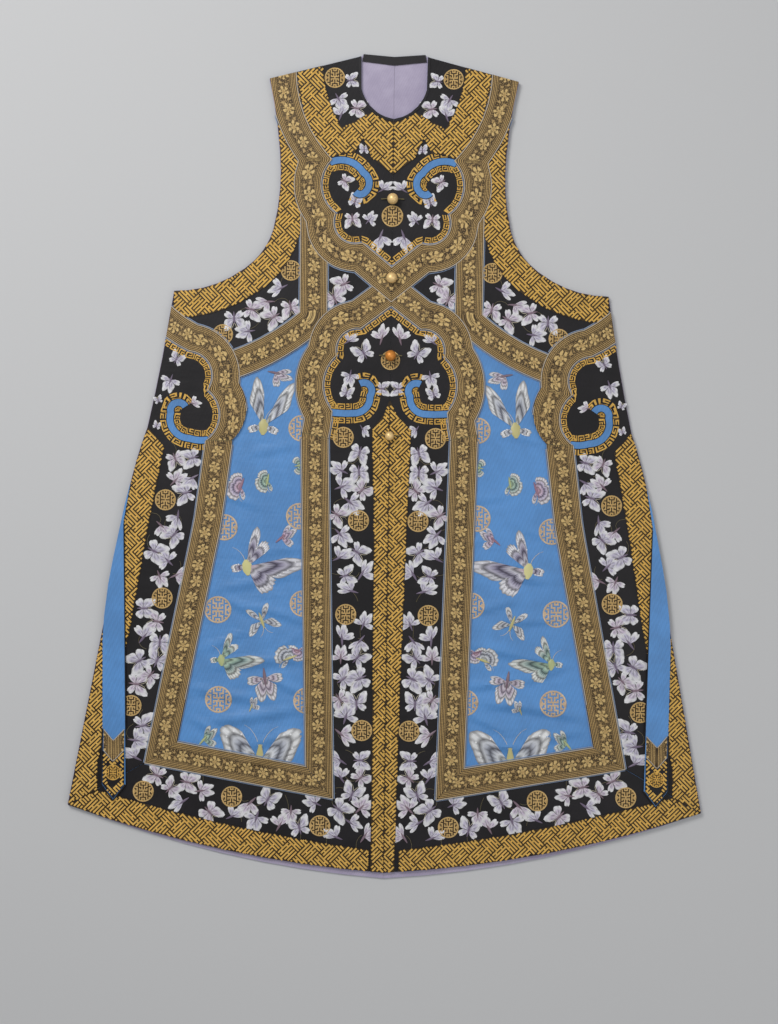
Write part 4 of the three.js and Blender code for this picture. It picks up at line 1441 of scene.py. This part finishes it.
class WAISTCOAT_OT_embroidery(PieceOperator):
    """Stitch the butterflies, stems and roundels."""

    bl_idname = "waistcoat.embroidery"
    bl_label = "Embroidery"

    def make(self, settings):
        places = self.strewn(random.Random(settings.seed))
        for side, sign in SIDES:
            draw = random.Random(settings.seed)
            small, large, stems = Stock(), Stock(), Stock()
            for index, (x, y, size, turn) in enumerate(YOKE_BUTTERFLIES):
                butterfly(small, x * sign, y, size * YOKE_SCALE, turn * sign,
                          SMALL_KINDS[index % len(SMALL_KINDS)], draw.choice(SMALL_SILKS), sign)
            for x, y in places:
                butterfly(small, x * sign, y, draw.uniform(*STREWN_SIZES), sign * draw.uniform(0, 360),
                          draw.choice(SMALL_KINDS), draw.choice(SMALL_SILKS),
                          sign * draw.choice((1, -1)))
                self.stem(stems, x * sign, y, sign, draw)
            small.piece(f"butterflies_black_{side}", MATERIALS["stitch"], "black_satin", "ground",
                        with_tints=True)
            stems.piece(f"stems_{side}", MATERIALS["stem"], "gold_fret")
            for x, y, size, turn, kind, palette in BLUE_BUTTERFLIES:
                butterfly(large, x * sign, y, size, turn * sign, kind, palette, -sign,
                          rings=12, columns=20, height=1.0)
            large.piece(f"butterflies_blue_{side}", MATERIALS["stitch"], "blue_silk", "front",
                        with_tints=True)
            for label, table, layer, thread, ground in (
                    ("black", BLACK_ROUNDELS, "ground", "gold_roundel", "fret_ground"),
                    ("blue", BLUE_ROUNDELS, "front", "peach_roundel", None)):
                stock, disc = Stock(), Stock()
                for x, y, radius in table:
                    roundel(stock, disc, x * sign, y, radius)
                stock.piece(f"roundels_{label}_{side}", MATERIALS[thread], "gold_fret", layer, False)
                if ground:
                    disc.piece(f"roundel_discs_{label}_{side}", MATERIALS[ground], "gold_fret", layer,
                               False)
        for name, y, radius in MIDDLE_ROUNDELS:
            stock, disc = Stock(), Stock()
            roundel(stock, disc, 0, y, radius)
            stock.piece(f"roundel_{name}", MATERIALS["gold_roundel"], "gold_fret", "ground", False)
            disc.piece(f"roundel_disc_{name}", MATERIALS["fret_ground"], "gold_fret", "ground", False)

    def strewn(self, draw):
        """Places scattered over the open black on the wearer's left, clear of each other."""
        covers = ribbon_loops("left") + outlines("streamer_left")
        for name in ("front", "vent", "hem", "armhole"):
            covers += outlines(f"{name}_fret_left")
        kept = []
        for node, top in STREWN:
            loops = outlines(f"{node}_left")
            low, high = np.vstack(loops).min(0), np.vstack(loops).max(0)
            spots = np.array([(draw.uniform(low[0], high[0]), draw.uniform(low[1], min(high[1], top)))
                              for _ in range(STREWN_TRIES)])
            clear = np.zeros(len(spots), bool)
            for loop in loops:
                clear |= inside(spots, loop) & (nearest(spots, closed(loop))[0] > STREWN_EDGE)
            for loop in covers:
                clear &= ~inside(spots, loop)
                clear[clear] = nearest(spots[clear], closed(loop))[0] > STREWN_EDGE
            for x, y, radius in BLACK_ROUNDELS:
                clear &= np.hypot(spots[:, 0] - x, spots[:, 1] - y) > radius + STREWN_EDGE + 2
            for spot in spots[clear]:
                if all(np.hypot(*(spot - other)) > STREWN_SPACING for other in kept):
                    kept.append(spot)
        return kept

    def stem(self, stock, x, y, sign, draw):
        """A short curling stem of olive thread between the butterflies."""
        angle, bend = draw.uniform(0, 2 * math.pi), draw.uniform(-0.09, 0.09)
        share = np.linspace(0, 1, 7)
        turn = angle + bend * share * STEM
        path = np.stack((x + sign * (4 + STEM * share * np.cos(turn)),
                         y + 3 + STEM * share * np.sin(turn)), 1)
        cord_along(stock, path, *CORDS["stem"])


class WAISTCOAT_OT_streamers(PieceOperator):
    """Lay the streamers that come out of the vents."""

    bl_idname = "waistcoat.streamers"
    bl_label = "Streamers"

    def make(self, settings):
        for side, sign in SIDES:
            middle = mirrored([row[:2] for row in STREAMER_MIDDLE], sign)
            shell(f"streamer_cloth_{side}", f"streamer_{side}", "streamer", MATERIALS["streamer_silk"],
                  5)
            shell(f"chevron_cloth_{side}", f"streamer_chevron_{side}", "streamer_trim",
                  MATERIALS["brocade"], 4, line=middle)
            shell(f"streamer_end_cloth_{side}", f"streamer_end_{side}", "streamer_trim",
                  MATERIALS["black_satin"], 4)
            cords, dark, gold, disc = Stock(), Stock(), Stock(), Stock()
            for rows in CHEVRON_LINES:
                line = mirrored(trace(rows), sign)
                cord_along(cords, eased(line), *CORDS["chevron_piping"])
            cords.piece(f"chevron_piping_{side}", MATERIALS["cream_piping"], "brocade")
            inner = mirrored(trace(STREAMER_EDGE), sign)
            cord_along(dark, eased(inner), *CORDS["streamer_edge"])
            for loop in outlines(f"streamer_{side}"):
                loop = closed(loop)
                for run in kept_runs(loop, loop[:, 1] < CHEVRON_TOP, 2):
                    cord_along(dark, run, *CORDS["streamer_end"])
            dark.piece(f"streamer_edge_{side}", MATERIALS["binding"], "binding")
            x, y, radius = END_ROUNDEL
            roundel(gold, disc, x * sign, y, radius)
            centre = mirrored(END_CENTRE, sign)
            for loop in outlines(f"streamer_end_{side}"):
                hole = centre + (loop - centre) * END_BARE
                cells = fret_cells([loop], [hole], settings.cell, sign)
                bars(gold, cells, fret_place(settings.cell, sign), settings.cord)
            gold.piece(f"streamer_gold_{side}", MATERIALS["gold_fret"], "gold_fret",
                       "streamer_trim", False)
            disc.piece(f"streamer_disc_{side}", MATERIALS["fret_ground"], "gold_fret",
                       "streamer_trim", False)


class WAISTCOAT_OT_buttons(PieceOperator):
    """Turn the knob buttons and their loops."""

    bl_idname = "waistcoat.buttons"
    bl_label = "Buttons"

    def make(self, settings):
        for node, y, radius in BUTTONS:
            low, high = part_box(node)
            centre = ((low[0] + high[0]) / 2, (low[1] + high[1]) / 2, (low[2] + high[2]) / 2)
            bpy.ops.object.select_all(action="DESELECT")
            bpy.ops.mesh.primitive_uv_sphere_add(segments=32, ring_count=20, radius=radius * MM,
                                                 location=centre)
            knob = bpy.context.active_object
            knob.name = f"{node}_knob"
            knob.scale = (1, 1, 0.9)
            bpy.ops.object.transform_apply(location=True, rotation=True, scale=True)
            bpy.ops.object.mode_set(mode="EDIT")
            mesh = bmesh.from_edit_mesh(knob.data)
            for vert in mesh.verts:
                turn = math.atan2(vert.co.y - centre[1], vert.co.x - centre[0])
                out = math.hypot(vert.co.x - centre[0], vert.co.y - centre[1]) / (radius * MM)
                ease = 1 - 0.05 * (0.5 + 0.5 * math.cos(8 * turn)) * math.sin(math.pi * min(out, 1))
                vert.co.x = centre[0] + (vert.co.x - centre[0]) * ease
                vert.co.y = centre[1] + (vert.co.y - centre[1]) * ease
            bmesh.update_edit_mesh(knob.data)
            bpy.ops.object.mode_set(mode="OBJECT")
            bpy.ops.object.shade_smooth_by_angle(angle=math.radians(60))
            slot = "amber_button" if node == "button_3" else "brass_button"
            knob.data.materials.append(MATERIALS[slot])
            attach(knob, "root")
            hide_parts(node)
            turns = np.linspace(0, 2 * math.pi, 21)
            loop = np.stack((radius * 0.85 * np.cos(turns), y + radius * 0.85 * np.sin(turns)), 1)
            cords = Stock()
            cord_along(cords, loop, *CORDS["button_ring"])
            for way in (1, -1):
                tail = np.array([(way * radius * 0.8, y + 1.2), (way * (radius + 5), y + 1.0),
                                 (way * (radius + 10), y + 0.6)])
                cord_along(cords, tail, *CORDS["button_loop"])
            cords.piece(f"{node}_loop", MATERIALS["stem"], "gold_fret")


class WAISTCOAT_OT_stage(PieceOperator):
    """Set the floor, the camera and the lights."""

    bl_idname = "waistcoat.stage"
    bl_label = "Stage"

    def make(self, settings):
        scene = bpy.context.scene
        data = bpy.data.cameras.new("Overhead camera")
        data.sensor_fit = "HORIZONTAL"
        data.lens = data.sensor_width * (CAMERA_PLACE[2] - CLOTH_TOP) / VIEW_WIDTH
        camera = bpy.data.objects.new("Overhead camera", data)
        camera.location = CAMERA_PLACE
        camera.rotation_euler = (0, 0, math.radians(CAMERA_TURN))
        scene.collection.objects.link(camera)
        scene.camera = camera
        bpy.ops.object.select_all(action="DESELECT")
        bpy.ops.mesh.primitive_plane_add(size=FLOOR_SIZE, location=(0, 0, 0))
        floor = bpy.context.active_object
        floor.name = "studio_floor"
        material, tree, shader = new_material("Studio paper", roughness=0.85, specular=0.2)
        grain = noise(tree, object_places(tree), 300.0, 3.0)
        tone = blend(tree, times(tree, grain, 0.25), (0.565, 0.565, 0.565), (0.52, 0.52, 0.525))
        tree.links.new(tone, shader.inputs["Base Color"])
        floor.data.materials.append(material)
        for name, place, size, power in LAMPS:
            light = bpy.data.lights.new(name, "AREA")
            light.size = size
            light.energy = power
            lamp = bpy.data.objects.new(name, light)
            lamp.location = place
            lamp.rotation_euler = (-Vector(place)).to_track_quat("-Z", "Y").to_euler()
            scene.collection.objects.link(lamp)
        world = bpy.data.worlds.new("Studio")
        scene.world = world
        world.use_nodes = True
        world.node_tree.nodes["Background"].inputs[0].default_value = (0.95, 0.97, 1.0, 1.0)
        world.node_tree.nodes["Background"].inputs[1].default_value = 0.34
        scene.view_settings.view_transform = "Standard"


STEPS = (
    WAISTCOAT_OT_materials, WAISTCOAT_OT_stage, WAISTCOAT_OT_body, WAISTCOAT_OT_grounds,
    WAISTCOAT_OT_frets, WAISTCOAT_OT_ribbons, WAISTCOAT_OT_embroidery, WAISTCOAT_OT_streamers,
    WAISTCOAT_OT_buttons,
)


class WAISTCOAT_PT_panel(bpy.types.Panel):
    """Lists the settings and the steps that dress the waistcoat."""

    bl_idname = "WAISTCOAT_PT_panel"
    bl_label = "Waistcoat"
    bl_space_type = "VIEW_3D"
    bl_region_type = "UI"
    bl_category = "Waistcoat"

    def draw(self, context):
        settings = context.scene.waistcoat
        for name in ("blue", "black", "gold", "cream", "cell", "cord", "crease_depth", "seed"):
            self.layout.prop(settings, name)
        for step in STEPS:
            self.layout.operator(step.bl_idname)


def register():
    bpy.utils.register_class(WaistcoatSettings)
    bpy.types.Scene.waistcoat = PointerProperty(type=WaistcoatSettings)
    for step in STEPS:
        bpy.utils.register_class(step)
    bpy.utils.register_class(WAISTCOAT_PT_panel)


def unregister():
    bpy.utils.unregister_class(WAISTCOAT_PT_panel)
    for step in reversed(STEPS):
        bpy.utils.unregister_class(step)
    del bpy.types.Scene.waistcoat
    bpy.utils.unregister_class(WaistcoatSettings)


def main():
    register()
    for step in STEPS:
        group, name = step.bl_idname.split(".")
        getattr(getattr(bpy.ops, group), name)()


if __name__ == "__main__":
    main()
